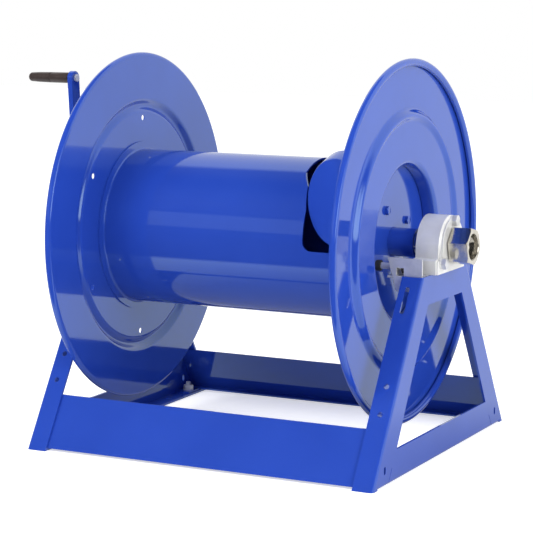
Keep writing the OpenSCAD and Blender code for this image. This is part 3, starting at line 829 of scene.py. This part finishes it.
def hexagon_head(name: str, flats: float, low: float, high: float, bore: float = 0.0) -> Piece:
    """Hexagon with the conical chamfer of a bolt head or a nut, along Z.

    Args:
        name: Name of the object.
        flats: Distance across the flats.
        low: Height of the seat.
        high: Height of the top.
        bore: Radius of the hole through a nut, which is chamfered at its seat too; 0 for a head.

    Returns:
        The object.
    """
    ring = hexagon_ring(flats)
    crown = CROWN * flats / 2
    inner = bore or POINT

    def circle(radius: float, height: float) -> list[tuple[float, float, float]]:
        """Points of a circle in step with the hexagon's."""
        return [(x / r * radius, y / r * radius, height) for x, y, r in ring]

    def chamfered(height: float, slope: float) -> list[tuple[float, float, float]]:
        """Points of the hexagon, moved along Z where they lie outside the crown."""
        return [(x, y, height + max(0.0, r - crown) * slope) for x, y, r in ring]

    slope = math.tan(math.radians(CHAMFER))
    levels = [circle(inner, low), circle(crown, low), chamfered(low, slope if bore else 0.0),
              chamfered(high, -slope), circle(crown, high), circle(inner, high)]
    count = len(ring)
    faces = []
    for band in range(len(levels) if bore else len(levels) - 1):
        a, b = band * count, (band + 1) % len(levels) * count
        faces += [(a + i, a + (i + 1) % count, b + (i + 1) % count, b + i) for i in range(count)]
    return new_object(name, [v for level in levels for v in level], faces, 25.0)


def join(pieces: Sequence[Piece], sharp: float = 30.0) -> Piece:
    """Joins objects into the first one.

    Args:
        pieces: The objects.
        sharp: Angle above which an edge stays sharp.

    Returns:
        The joined object.
    """
    bm = bmesh.new()
    for piece in pieces:
        bm.from_mesh(piece.data)
    bm.to_mesh(pieces[0].data)
    bm.free()
    for piece in pieces[1:]:
        bpy.data.objects.remove(piece)
    shade(pieces[0].data, sharp)
    return pieces[0]


def threaded_rod(name: str, radius: float, low: float, high: float, pitch: float) -> Piece:
    """Turns a rod along Z with ridges as a thread and a chamfered upper end.

    Args:
        name: Name of the object.
        radius: Outer radius of the thread.
        low: Height of the lower end.
        high: Height of the upper end.
        pitch: Distance between turns.

    Returns:
        The object.
    """
    outline: list[Point] = [(0.0, low), (radius, low)]
    for i in range(int((high - low - pitch) / pitch)):
        outline += [(radius - GROOVE * pitch, low + (i + 0.5) * pitch), (radius, low + (i + 1) * pitch)]
    outline += [(radius - TIP * pitch, high), (0.0, high)]
    return UPRIGHT.turn(name, outline, 32)


def flat_washer(radius: float, bore: float, low: float, high: float) -> Piece:
    """Turns a washer about Z with softly stamped edges.

    Args:
        radius: Outer radius.
        bore: Radius of the hole.
        low: Height of the lower face.
        high: Height of the upper face.

    Returns:
        The washer.
    """
    sharp, stamped = 0.1, 0.35
    outline = rounded([(bore, low, sharp), (radius, low, sharp), (radius, high, stamped), (bore, high, stamped)])
    return UPRIGHT.turn("washer", outline, 48)


@dataclass(frozen=True)
class Metric:
    """Hexagon fasteners of one metric thread."""

    radius: float
    pitch: float
    flats: float
    head: float
    nut_height: float

    def bolt(self, seat: float, tip: float) -> Piece:
        """Bolt along Z whose head stands on a seat and whose shank ends at a tip."""
        return join([hexagon_head("bolt", self.flats, seat, seat + self.head),
                     threaded_rod("shank", self.radius, tip, seat, self.pitch)])

    def stud(self, low: float, high: float) -> Piece:
        """Stud along Z."""
        return threaded_rod("stud", self.radius, low, high, self.pitch)

    def nut(self, low: float) -> Piece:
        """Nut along Z."""
        return hexagon_head("nut", self.flats, low, low + self.nut_height, self.radius)


M8 = Metric(4.0, 1.25, 13.0, 5.3, 6.5)
M10 = Metric(5.0, 1.5, 17.0, 6.4, 8.0)
M12 = Metric(6.0, 1.75, 19.0, 7.5, 10.0)


# ---- Drum ----


@dataclass
class Drum:
    """Drum shell between two stamped discs, with its hood and hubs."""

    axis: float = AXIS_HEIGHT
    planes: dict[Side, float] = field(default_factory=lambda: {Side.LEFT: -264.5, Side.RIGHT: 251.5})
    disc_radius: float = 307.5
    curl_radius: float = 6.4
    sheet: float = 2.0
    dish: float = 3.5
    ring_in: float = 201.0
    ring_mid: float = 213.0
    ring_out: float = 226.5
    ring_height: float = 6.0
    lacing_circle: float = 191.6
    lacing_radius: float = 5.0
    lacing_start: float = 88.0
    lacing_count: int = 6
    shell_radius: float = 135.8
    shell_wall: float = 3.0
    seat: float = 0.1
    flare_radius: float = 150.0
    neck_bend: float = 8.0
    collar_depth: float = 24.0
    slot_low: float = -7.0
    slot_left: float = 121.0
    slot_shoulder: tuple[Point, ...] = ((121.0, 60.0), (112.0, 96.0), (96.0, 116.0))
    slot_corner: float = 16.0
    slot_back: float = 20.0
    hood_centre: tuple[float, float, float] = (186.5, -150.0, 434.0)
    hood_turn: float = 26.0
    hood_radius: float = 74.0
    hood_edge: float = 6.0
    hood_flare: float = 10.0
    hood_flare_depth: float = 22.0
    hood_length: float = 30.0
    hood_wall: float = 3.0
    hood_crown: float = 4.0
    hood_ease: float = 0.5
    hub_bolt_circle: float = 63.5
    hub_bolt_start: float = 29.0
    hub_bolt_count: int = 4
    hub_bolt_tail: float = 9.0
    bulkhead_depth: float = 25.5
    hub_thickness: float = 6.0
    bulkhead_thickness: float = 3.0
    bulkhead_rim: float = 15.0
    segments: int = 256

    def build(self, dresser: Dresser) -> None:
        """Builds and dresses every piece of the drum.

        Args:
            dresser: Gives the pieces their material and body, and hides the nodes they stand for.
        """
        for side in Side:
            dresser.dress(self.disc(side), Body.DRUM, Slot.PAINT, f"{side.word}_disc")
            dresser.copy(f"{side.word}_bulkhead", Body.DRUM, Slot.PAINT, edge=0.8)
            dresser.copy(f"{side.word}_hub_flange", Body.DRUM, Slot.PAINT, edge=0.8)
        dresser.dress(self.shell(), Body.DRUM, Slot.PAINT, "drum_shell")
        dresser.dress(self.hood(), Body.DRUM, Slot.PAINT, "riser_hood")
        self.hub_fasteners(dresser)

    @property
    def bore(self) -> float:
        """Outer radius of what sits inside the shell."""
        return self.shell_radius - self.shell_wall - self.seat

    @property
    def neck(self) -> Point:
        """Centre of the neck's bend, as radius and depth."""
        return self.bore - self.sheet / 2 + self.neck_bend, -self.neck_bend

    def press_line(self) -> list[Point]:
        """Draws the middle line of a disc's sheet from the curl to the neck, with its pressed ring.

        Returns:
            Points of (radius, depth).
        """
        def flank(outer: Point, inner: Point) -> list[Point]:
            """Wave from one point to the next, level at both."""
            steps = 10
            waves = [(i / steps, (1 - math.cos(math.pi * i / steps)) / 2) for i in range(steps + 1)]
            return [(outer[0] + (inner[0] - outer[0]) * u, outer[1] + (inner[1] - outer[1]) * w) for u, w in waves]
        crest = (self.ring_mid, self.ring_height)
        rim, neck = self.disc_radius - self.curl_radius - 1, self.neck[0]
        near, far = 0.7, 3  # rings beside a bend, which keep the shading of the flat beyond them calm
        return [(rim, -self.dish), (rim - far, -self.dish), (self.ring_out + far, -self.dish),
                (self.ring_out + near, -self.dish), *flank((self.ring_out, -self.dish), crest),
                *flank(crest, (self.ring_in, 0.0))[1:], (self.ring_in - near, 0.0), (self.ring_in - far, 0.0),
                (neck + far, 0.0), (neck + near, 0.0)]

    def sheet_outline(self) -> list[Point]:
        """Draws the section of a disc: its rim curled outwards, its pressed ring and its collar.

        Returns:
            Points of (radius, depth).
        """
        half = self.sheet / 2
        collar = self.neck[0] - self.neck_bend
        curl = (self.disc_radius - self.curl_radius, self.curl_radius - self.dish - half)
        press = self.press_line()
        return [*arc(curl, self.curl_radius - self.sheet, 560, 270, 44), *[(r, d + half) for r, d in press],
                *arc(self.neck, self.neck_bend + half, 90, 180, 14),
                (collar - half, -self.collar_depth), (collar + half, -self.collar_depth),
                *arc(self.neck, self.neck_bend - half, 180, 90, 14), *[(r, d - half) for r, d in reversed(press)],
                *arc(curl, self.curl_radius, 270, 560, 44)]

    def disc(self, side: Side) -> Piece:
        """Turns one stamped disc; the crank side's has a ring of lacing holes.

        Args:
            side: End of the drum it stands at.

        Returns:
            The disc.
        """
        lathe = Lathe((self.planes[side], 0.0, self.axis), (float(side.value), 0.0, 0.0))
        sheet = lathe.turn(f"{side.word}_disc_piece", self.sheet_outline(), self.segments)
        if side is Side.RIGHT:
            return sheet
        depth = 4 * self.sheet
        outline = [(0.0, -depth), (self.lacing_radius, -depth), (self.lacing_radius, depth), (0.0, depth)]
        tools = []
        for i in range(self.lacing_count):
            angle = math.radians(self.lacing_start + 360 // self.lacing_count * i)
            spot = self.spot(side, self.lacing_circle, angle)
            tools.append(Lathe(spot).turn("lacing_cutter", outline, 32))
        return cut(sheet, join(tools))

    def shell_flare(self, side: Side) -> list[Point]:
        """Draws a flared end of the shell, from its inner to its outer face.

        Args:
            side: End of the drum.

        Returns:
            Points of (radius, X).
        """
        gap = self.neck_bend - self.sheet / 2 - self.seat
        face = self.neck[1] + gap
        lip = [(self.flare_radius, face), (self.flare_radius, face - self.shell_wall)]
        points = [*arc(self.neck, gap, 180, 90, 12), *lip, *arc(self.neck, gap - self.shell_wall, 90, 180, 12)]
        return [(r, self.planes[side] + side.value * d) for r, d in points]

    def shell(self) -> Piece:
        """Turns the drum shell and cuts its open hose slot.

        Returns:
            The shell.
        """
        outline = self.shell_flare(Side.RIGHT) + list(reversed(self.shell_flare(Side.LEFT)))
        piece = AXIS.turn("drum_shell_piece", outline, self.segments)
        right, top = self.planes[Side.RIGHT], self.flare_radius + self.slot_corner
        corner = (self.slot_left + self.slot_corner, self.slot_low + self.slot_corner)
        slot = [(right, self.slot_low), *arc(corner, self.slot_corner, 270, 180, 12), *self.slot_shoulder,
                (self.slot_shoulder[-1][0], top), (right, top)]
        count = len(slot)
        vertices = [(x, y, self.axis + z) for y in (self.slot_back, -self.flare_radius) for x, z in slot]
        faces: list[tuple[int, ...]] = [tuple(range(count)), tuple(range(count, 2 * count))]
        faces += [(i, (i + 1) % count, count + (i + 1) % count, count + i) for i in range(count)]
        return cut(piece, new_object("slot_cutter", vertices, faces))

    def hood(self) -> Piece:
        """Turns the hood over the riser: a crowned face, a rolled edge and a widening skirt, trimmed to the disc.

        Returns:
            The hood.
        """
        wall, edge, crown = self.hood_wall, self.hood_edge, self.hood_crown
        face, skirt = self.hood_radius - edge, self.hood_radius + self.hood_flare
        slope = math.degrees(math.atan2(self.hood_flare, self.hood_flare_depth - edge))
        steps = 12
        dome = [(face * (1 - i / steps), crown * (1 - (1 - i / steps) ** 2)) for i in range(1, steps + 1)]
        outline = [(skirt, -self.hood_length), (skirt, -self.hood_flare_depth),
                   *arc((face, -edge), edge, slope, 90, 10), *dome, *[(r, rise - wall) for r, rise in reversed(dome)],
                   *arc((face, -edge), edge - wall, 90, slope, 10), (skirt - wall, -self.hood_flare_depth - 1),
                   (skirt - wall, -self.hood_length)]
        turn = math.radians(self.hood_turn)
        lathe = Lathe(self.hood_centre, (-math.sin(turn), -math.cos(turn), 0.0))
        piece = lathe.turn("riser_hood_piece", outline, 192)
        plane, gap = self.planes[Side.RIGHT], 2.0
        inner = self.bore + gap
        behind = plane - self.bulkhead_depth - self.bulkhead_rim - gap
        collar, trim = plane - self.collar_depth - gap, plane - self.sheet / 2
        neck, far = self.neck[0] + gap, 2 * self.disc_radius
        outline = [(0.0, behind), (inner, behind), (inner, collar), (neck, collar), (neck, trim), (far, trim),
                   (far, trim + far), (0.0, trim + far)]
        tool = AXIS.turn("hood_cutter", outline, self.segments)
        return ease_edges(cut(piece, tool), self.hood_ease)

    def spot(self, side: Side, radius: float, angle: float) -> tuple[float, float, float]:
        """Point on a disc's plane at a radius and an angle in radians about the drum's axis."""
        return self.planes[side], radius * math.cos(angle), self.axis + radius * math.sin(angle)

    def hub_fasteners(self, dresser: Dresser) -> None:
        """Puts bolts and nuts through the bulkheads and the hub flanges behind them, at both ends.

        Args:
            dresser: Gives the pieces their material and body, and hides the nodes they stand for.
        """
        head = -self.bulkhead_depth
        back = head - self.bulkhead_thickness - self.hub_thickness
        count = self.hub_bolt_count
        angles = [math.radians(self.hub_bolt_start + 360 // count * i) for i in range(count)]
        places = [(self.spot(side, self.hub_bolt_circle, a), along_drum(side, a)) for side in Side for a in angles]
        dresser.fasten("hub_bolts", M8.bolt(head, back - self.hub_bolt_tail), places, Body.DRUM, Slot.PAINT)
        dresser.fasten("hub_nuts", M8.nut(back - M8.nut_height), places, Body.DRUM, Slot.PAINT)


def along_drum(side: Side, spin: float = 0.0) -> Euler:
    """Turn that lays local Z along the drum, outwards at a side, after a spin about it."""
    lay = Matrix.Rotation(math.radians(90.0 * side.value), 4, "Y")
    return (lay @ Matrix.Rotation(spin, 4, "Z")).to_euler()


# ---- Water way ----


@dataclass
class WaterWay:
    """Inlet pipe, riser and the plated swivel that the supply hose screws into."""

    axis: float = AXIS_HEIGHT
    inlet_end: float = 370.5
    inlet_thread: float = 22.2
    inlet_depth: float = 19.0
    outlet_foot: tuple[float, float, float] = (143.0, 0.0, AXIS_HEIGHT)
    outlet_reach: float = 74.0
    outlet_thread: float = 19.5
    outlet_depth: float = 20.0
    lead: float = 2.0
    riser_angle: float = 75.0
    pitch: float = 2.2

    def build(self, dresser: Dresser) -> None:
        """Builds and dresses the water way.

        Args:
            dresser: Gives the pieces their material and body, and hides the nodes they stand for.
        """
        for node in ("inlet_pipe", "riser_elbow", "riser_pipe"):
            dresser.copy(node, Body.DRUM, Slot.PAINT, edge=0.5)
        dresser.copy("swivel_journal", Body.DRUM, Slot.PLATED, edge=0.4)
        dresser.copy("snap_ring", Body.DRUM, Slot.STEEL, edge=0.2)
        dresser.copy("hose_outlet", Body.DRUM, Slot.PLATED, edge=0.9)
        dresser.copy("inlet_swivel", Body.SWIVEL, Slot.PLATED, edge=0.6, steps=3)
        dresser.copy("inlet_seal", Body.SWIVEL, Slot.RUBBER, edge=0.0)
        plated = dresser.materials[Slot.PLATED]
        start = (self.inlet_end - self.inlet_depth, 0.0, self.axis)
        thread = dresser.cutter.wind("inlet_thread", self.inlet_thread, self.pitch, self.inlet_depth - self.lead,
                                     start, along_drum(Side.RIGHT), plated)
        dresser.dress(thread, Body.SWIVEL, Slot.PLATED)
        lean = Euler((math.radians(90.0 - self.riser_angle), 0.0, 0.0))
        rise = Vector((0.0, 0.0, self.outlet_reach - self.outlet_depth))
        start = Vector(self.outlet_foot) + lean.to_matrix() @ rise
        thread = dresser.cutter.wind("outlet_thread", self.outlet_thread, self.pitch, self.outlet_depth - self.lead,
                                     start, lean, plated)
        dresser.dress(thread, Body.DRUM, Slot.PLATED)


# ---- Crank ----


@dataclass
class Crank:
    """Crank arm with its hub, spindle and turning grip.

    The foot lists insets and heights of the grip's outline, the taper insets and shares of its length.
    """

    axis: float = AXIS_HEIGHT
    throw: float = 261.0
    lean: float = 4.8
    arm_face: float = 386.0
    arm_thickness: float = 10.0
    washer: float = 2.0
    gap: float = 0.3
    grip_length: float = 83.0
    grip_radius: float = 9.5
    spindle_radius: float = 4.06
    recess_radius: float = 6.0
    recess_depth: float = 9.5
    parting: float = 0.45
    tip: float = 4.0
    foot: tuple[Point, ...] = ((1.0, 0.0), (0.3, 0.4), (0.0, 1.5))
    taper: tuple[Point, ...] = ((0.25, 0.5), (0.65, 0.75))
    groove: float = 0.5
    groove_half: float = 0.9

    def build(self, dresser: Dresser) -> None:
        """Builds and dresses the crank.

        Args:
            dresser: Gives the pieces their material and body, and hides the nodes they stand for.
        """
        dresser.copy("stub_shaft", Body.DRUM, Slot.STEEL, edge=0.6)
        dresser.copy("crank_hub", Body.DRUM, Slot.PAINT, edge=0.8)
        dresser.copy("crank_arm", Body.DRUM, Slot.PAINT, edge=1.0, steps=3)
        dresser.copy("crank_set_screw", Body.DRUM, Slot.STEEL, edge=0.2)
        dresser.copy("grip_spindle", Body.DRUM, Slot.STEEL, edge=0.5)
        dresser.copy("grip_washer", Body.DRUM, Slot.STEEL, edge=0.3)
        dresser.dress(self.grip(), Body.GRIP, Slot.GRIP, "crank_grip")

    def grip(self) -> Piece:
        """Turns the moulded grip, narrower towards its rounded end, with a parting groove round its middle.

        Returns:
            The grip.
        """
        start = self.arm_face + self.arm_thickness + self.washer + 2 * self.gap
        length, radius = self.grip_length, self.grip_radius
        parting = self.parting * length
        body = [(radius - inset, height) for inset, height in self.foot]
        body += [(radius - 0.15, parting - self.groove_half), (radius - 0.2 - self.groove, parting),
                 (radius - 0.2, parting + self.groove_half)]
        body += [(radius - inset, share * length) for inset, share in self.taper]
        body += arc((radius - 1.5 - self.tip, length - self.tip), self.tip, 6, 84, 8)
        recess = length - self.recess_depth
        bore = [(self.recess_radius, length), (self.recess_radius, recess), (self.spindle_radius, recess),
                (self.spindle_radius, 0.0)]
        angle = math.radians(self.lean)
        centre = (-start, -self.throw * math.sin(angle), self.axis + self.throw * math.cos(angle))
        outline = [p for p in body if p[0] > self.recess_radius or p[1] < length - self.tip] + bore
        return Lathe(centre, (-1.0, 0.0, 0.0)).turn("crank_grip_piece", outline)


# ---- Frame and bearings ----


@dataclass
class Frame:
    """Two folded end frames, two rails and the studs that hold them."""

    sheet_edge: float = 0.7
    stud_x: float = 300.0
    stud_y: float = 235.0
    stud_end: float = 14.0
    tab_top: float = 7.0
    washer: float = 2.0

    def build(self, dresser: Dresser) -> None:
        """Builds and dresses the frame.

        Args:
            dresser: Gives the pieces their material and body, and hides the nodes they stand for.
        """
        for node in ("left_end_frame", "right_end_frame", "front_rail", "rear_rail"):
            dresser.copy(node, Body.FRAME, Slot.PAINT, edge=self.sheet_edge)
        places = [((side.value * self.stud_x, y * self.stud_y, 0.0), Euler((0.0, 0.0, 0.3 * y)))
                  for side in Side for y in (-1, 1)]
        seat = self.tab_top + self.washer
        dresser.fasten("frame_studs", M10.stud(0.0, seat + self.stud_end), places, Body.FRAME, Slot.STEEL)
        washer = flat_washer(10.0, 5.1, self.tab_top, seat)
        dresser.fasten("frame_washers", washer, places, Body.FRAME, Slot.STEEL)
        dresser.fasten("frame_nuts", M10.nut(seat), places, Body.FRAME, Slot.STEEL)


@dataclass
class Bearings:
    """Cast bearing housings on their brackets, with bushings, retainers and bolts."""

    axis: float = AXIS_HEIGHT
    frame_top: float = 313.5
    shelf: float = 4.0
    retainer_face: float = 334.0
    washer: float = 2.0
    upper_bolt: float = 42.0
    lower_bolt: tuple[float, float] = (45.0, -25.0)
    foot_bolt: tuple[float, float] = (302.8, 51.0)
    upper_depth: float = 22.0
    foot_depth: float = 20.0

    def build(self, dresser: Dresser) -> None:
        """Builds and dresses the bearings.

        Args:
            dresser: Gives the pieces their material and body, and hides the nodes they stand for.
        """
        for side in Side:
            dresser.copy(f"{side.word}_bearing_bracket", Body.FRAME, Slot.STEEL, edge=0.6)
            dresser.copy(f"{side.word}_bearing_housing", Body.FRAME, Slot.CAST, edge=1.2, steps=3)
            dresser.copy(f"{side.word}_bushing", Body.FRAME, Slot.BRONZE, edge=0.3)
            dresser.copy(f"{side.word}_retainer", Body.FRAME, Slot.CAST, edge=0.5)
        self.retainer_fasteners(dresser)
        self.foot_bolts(dresser)

    def retainer_fasteners(self, dresser: Dresser) -> None:
        """Puts in the bolts and washers that hold the retainer plates.

        Args:
            dresser: Gives the pieces their material and body, and hides the nodes they stand for.
        """
        y, z = self.lower_bolt
        places = [((side.value * self.retainer_face, across, self.axis + up), along_drum(side, math.radians(30.0)))
                  for side in Side for across, up in ((0.0, self.upper_bolt), (y, z), (-y, z))]
        dresser.fasten("retainer_bolts", M10.bolt(self.washer, -self.upper_depth), places, Body.FRAME, Slot.STEEL)
        washer = flat_washer(8.5, 5.3, 0.0, self.washer)
        dresser.fasten("retainer_washers", washer, places, Body.FRAME, Slot.STEEL)

    def foot_bolts(self, dresser: Dresser) -> None:
        """Puts in the bolts that hold the housings to the bracket shelves from below.

        Args:
            dresser: Gives the pieces their material and body, and hides the nodes they stand for.
        """
        x, y = self.foot_bolt
        places = [((side.value * x, edge * y, self.frame_top), Euler((math.pi, 0.0, 0.0)))
                  for side in Side for edge in (-1, 1)]
        dresser.fasten("housing_bolts", M12.bolt(self.shelf, -self.foot_depth), places, Body.FRAME, Slot.STEEL)


@dataclass
class DragBrake:
    """Friction pad, screw and knob that slow the drum."""

    def build(self, dresser: Dresser) -> None:
        """Builds and dresses the brake.

        Args:
            dresser: Gives the pieces their material and body, and hides the nodes they stand for.
        """
        dresser.copy("brake_pad", Body.PAD, Slot.RUBBER, edge=0.4)
        dresser.copy("brake_screw", Body.SCREW, Slot.STEEL, edge=0.4)
        dresser.copy("brake_knob", Body.SCREW, Slot.GRIP, edge=0.6)


# ---- Studio ----


@dataclass
class Softbox:
    """One area lamp aimed at a point."""

    name: str
    place: tuple[float, float, float]
    target: tuple[float, float, float]
    size: tuple[float, float]
    power: float

    def hang(self) -> None:
        """Adds the lamp to the scene."""
        lamp = bpy.data.lights.new(self.name, "AREA")
        lamp.shape, lamp.size, lamp.size_y, lamp.energy = "RECTANGLE", self.size[0], self.size[1], self.power
        holder = linked(self.name, lamp)
        holder.location = self.place
        holder.rotation_euler = (Vector(self.target) - Vector(self.place)).to_track_quat("-Z", "Y").to_euler()
        holder.visible_camera = holder.visible_glossy = False


@dataclass
class Studio:
    """Pale floor, white room, soft lamps and the camera."""

    azimuth: float = 0.4675
    elevation: float = 0.1452
    roll: float = 0.0024
    distance: float = 3446.05
    shift: tuple[float, float] = (-11.527, -51.480)
    lens: float = 134.175
    sensor: float = 36.0
    aim: float = 350.0
    floor_half: float = 9000.0
    floor_drop: float = 0.4
    floor_glow: float = 0.55
    # brightness of the painted shadow under the reel in the floor's reflection, and the distances in metres over
    # which it fades out
    floor_under: float = 0.32
    under_reach: Point = (0.25, 0.60)
    table_edge: Point = (-0.56, -0.50)
    dim: float = 0.05
    ceiling: float = 0.12
    window_light: float = 0.30
    side_light: float = 2.5
    fill: float = 0.80
    boxes: tuple[Softbox, ...] = (
        Softbox("key", (-1.4, -2.4, 2.6), (0.0, 0.0, 0.3), (1.6, 1.2), 55.0),
        Softbox("right_fill", (2.6, -1.0, 1.5), (0.0, 0.0, 0.35), (1.4, 1.4), 40.0),
    )

    def build(self) -> None:
        """Sets up floor, light and camera."""
        bpy.context.scene.view_settings.view_transform = "Standard"
        self.floor()
        self.room()
        for box in self.boxes:
            box.hang()
        self.camera()

    def floor(self) -> None:
        """Pale floor, which glossy surfaces see as a glowing table with a front edge and a painted shadow under the
        reel.
        """
        half = self.floor_half
        edges = ((-half, -half), (half, -half), (half, half), (-half, half))
        plane = new_object("floor", [(x, y, -self.floor_drop) for x, y in edges], [(0, 1, 2, 3)])
        shader = Shader("pale_floor")
        shader.fix(Base_Color=(0.95, 0.95, 0.95, 1.0), Roughness=0.9, Specular_IOR_Level=0.1)
        plane.data.materials.append(shader.material)
        y = shader.node("ShaderNodeSeparateXYZ", {0: shader.coordinates}).outputs["Y"]
        table = shader.spread(y, self.dim, 1.0, *self.table_edge)
        reach = shader.node("ShaderNodeVectorMath", {0: shader.coordinates}, operation="LENGTH").outputs["Value"]
        # painted shadow: glossy rays see the glowing floor darker near the reel, as if the drum shaded it
        painted_shadow = shader.spread(reach, self.floor_under, 1.0, *self.under_reach)
        mirrored = shader.node("ShaderNodeEmission", {"Color": shader.math("MULTIPLY", table, painted_shadow)}).outputs[0]
        white = shader.node("ShaderNodeEmission", {"Strength": self.floor_glow}).outputs[0]
        plain = shader.principled.outputs[0]
        lit = shader.node("ShaderNodeAddShader", {0: plain, 1: white}).outputs[0]
        rays = shader.node("ShaderNodeLightPath").outputs
        shown = shader.mix(rays["Is Glossy Ray"], shader.mix(rays["Is Camera Ray"], plain, lit), mirrored)
        shader.feed(shader.tree.nodes["Material Output"].inputs[0], shown)

    def room(self) -> None:
        """White room to the camera; glossy surfaces see a white wall behind and a dim front."""
        world = bpy.data.worlds.new("room")
        bpy.context.scene.world = world
        world.use_nodes = True
        world.node_tree.nodes.clear()
        tree = NodeTree(world.node_tree)
        direction = tree.node("ShaderNodeTexCoord").outputs["Generated"]
        x, y, z = tree.node("ShaderNodeSeparateXYZ", {0: direction}).outputs

        def product(high: float, *edges: tuple[Socket, float, float]) -> Socket:
            """Multiplies a light by smooth edges.

            Args:
                high: Light where every edge is full.
                edges: Axis, where the light is nil and where it is full.

            Returns:
                The socket of the light.
            """
            return tree.math("MULTIPLY", high, *[
                tree.spread(axis, *((0.0, 1.0, nil, full) if nil < full else (1.0, 0.0, full, nil)), "SMOOTHSTEP")
                for axis, nil, full in edges])

        wall = tree.math("MULTIPLY", tree.spread(y, self.dim, 1.0, -0.10, 0.25, "SMOOTHSTEP"),
                         tree.spread(z, 1.0, self.ceiling, 0.80, 0.86, "SMOOTHSTEP"))
        window = product(self.window_light, (y, -0.35, -0.45), (z, 0.12, 0.15), (z, 0.46, 0.42), (x, 0.30, 0.10))
        side_light = product(self.side_light, (x, 0.78, 0.88), (y, -0.58, -0.48), (y, -0.08, -0.20),
                             (z, 0.02, 0.08), (z, 0.66, 0.55))

        def background(colour: object, strength: float = 1.0) -> Socket:
            """Background shader."""
            return tree.node("ShaderNodeBackground", {0: colour, 1: strength}).outputs[0]

        white = (1.0, 1.0, 1.0, 1.0)
        rays = tree.node("ShaderNodeLightPath").outputs
        mirrored = background(tree.math("ADD", wall, window, side_light))
        unseen = tree.mix(rays["Is Glossy Ray"], background(white, self.fill), mirrored)
        shown = tree.mix(rays["Is Camera Ray"], unseen, background(white))
        tree.node("ShaderNodeOutputWorld", {0: shown})

    def camera(self) -> None:
        """Camera at the viewing angle, with its image plane centred."""
        lens = bpy.data.cameras.new("camera")
        lens.sensor_width, lens.lens = self.sensor, self.lens
        lens.clip_start, lens.clip_end = 0.1, 50.0
        camera = linked("camera", lens)
        az, el = self.azimuth, self.elevation
        back = Vector((math.sin(az) * math.cos(el), -math.cos(az) * math.cos(el), math.sin(el)))
        right = Vector((math.cos(az), math.sin(az), 0.0))
        up = back.cross(right)
        target = Vector((0.0, 0.0, self.aim)) + right * self.shift[0] + up * self.shift[1]
        turned = right * math.cos(self.roll) + up * math.sin(self.roll)
        upright = up * math.cos(self.roll) - right * math.sin(self.roll)
        matrix = Matrix((turned, upright, back)).transposed().to_4x4()
        matrix.translation = (target + back * self.distance) * MM
        camera.matrix_world = matrix
        bpy.context.scene.camera = camera


def corners(box: tuple[Vector, Vector]) -> list[list[float]]:
    """A box as plain lists of numbers."""
    return [list(corner) for corner in box]


def main() -> None:
    """Builds the reel's looks, sub-assembly by sub-assembly."""
    logging.basicConfig(level=logging.INFO, format="%(name)s: %(message)s")
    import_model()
    dresser = Dresser()
    for assembly in (Frame(), Bearings(), Drum(), WaterWay(), Crank(), DragBrake()):
        assembly.build(dresser)
    Studio().build()
    LOG.info("%d pieces", dresser.count)


if __name__ == "__main__":
    main()
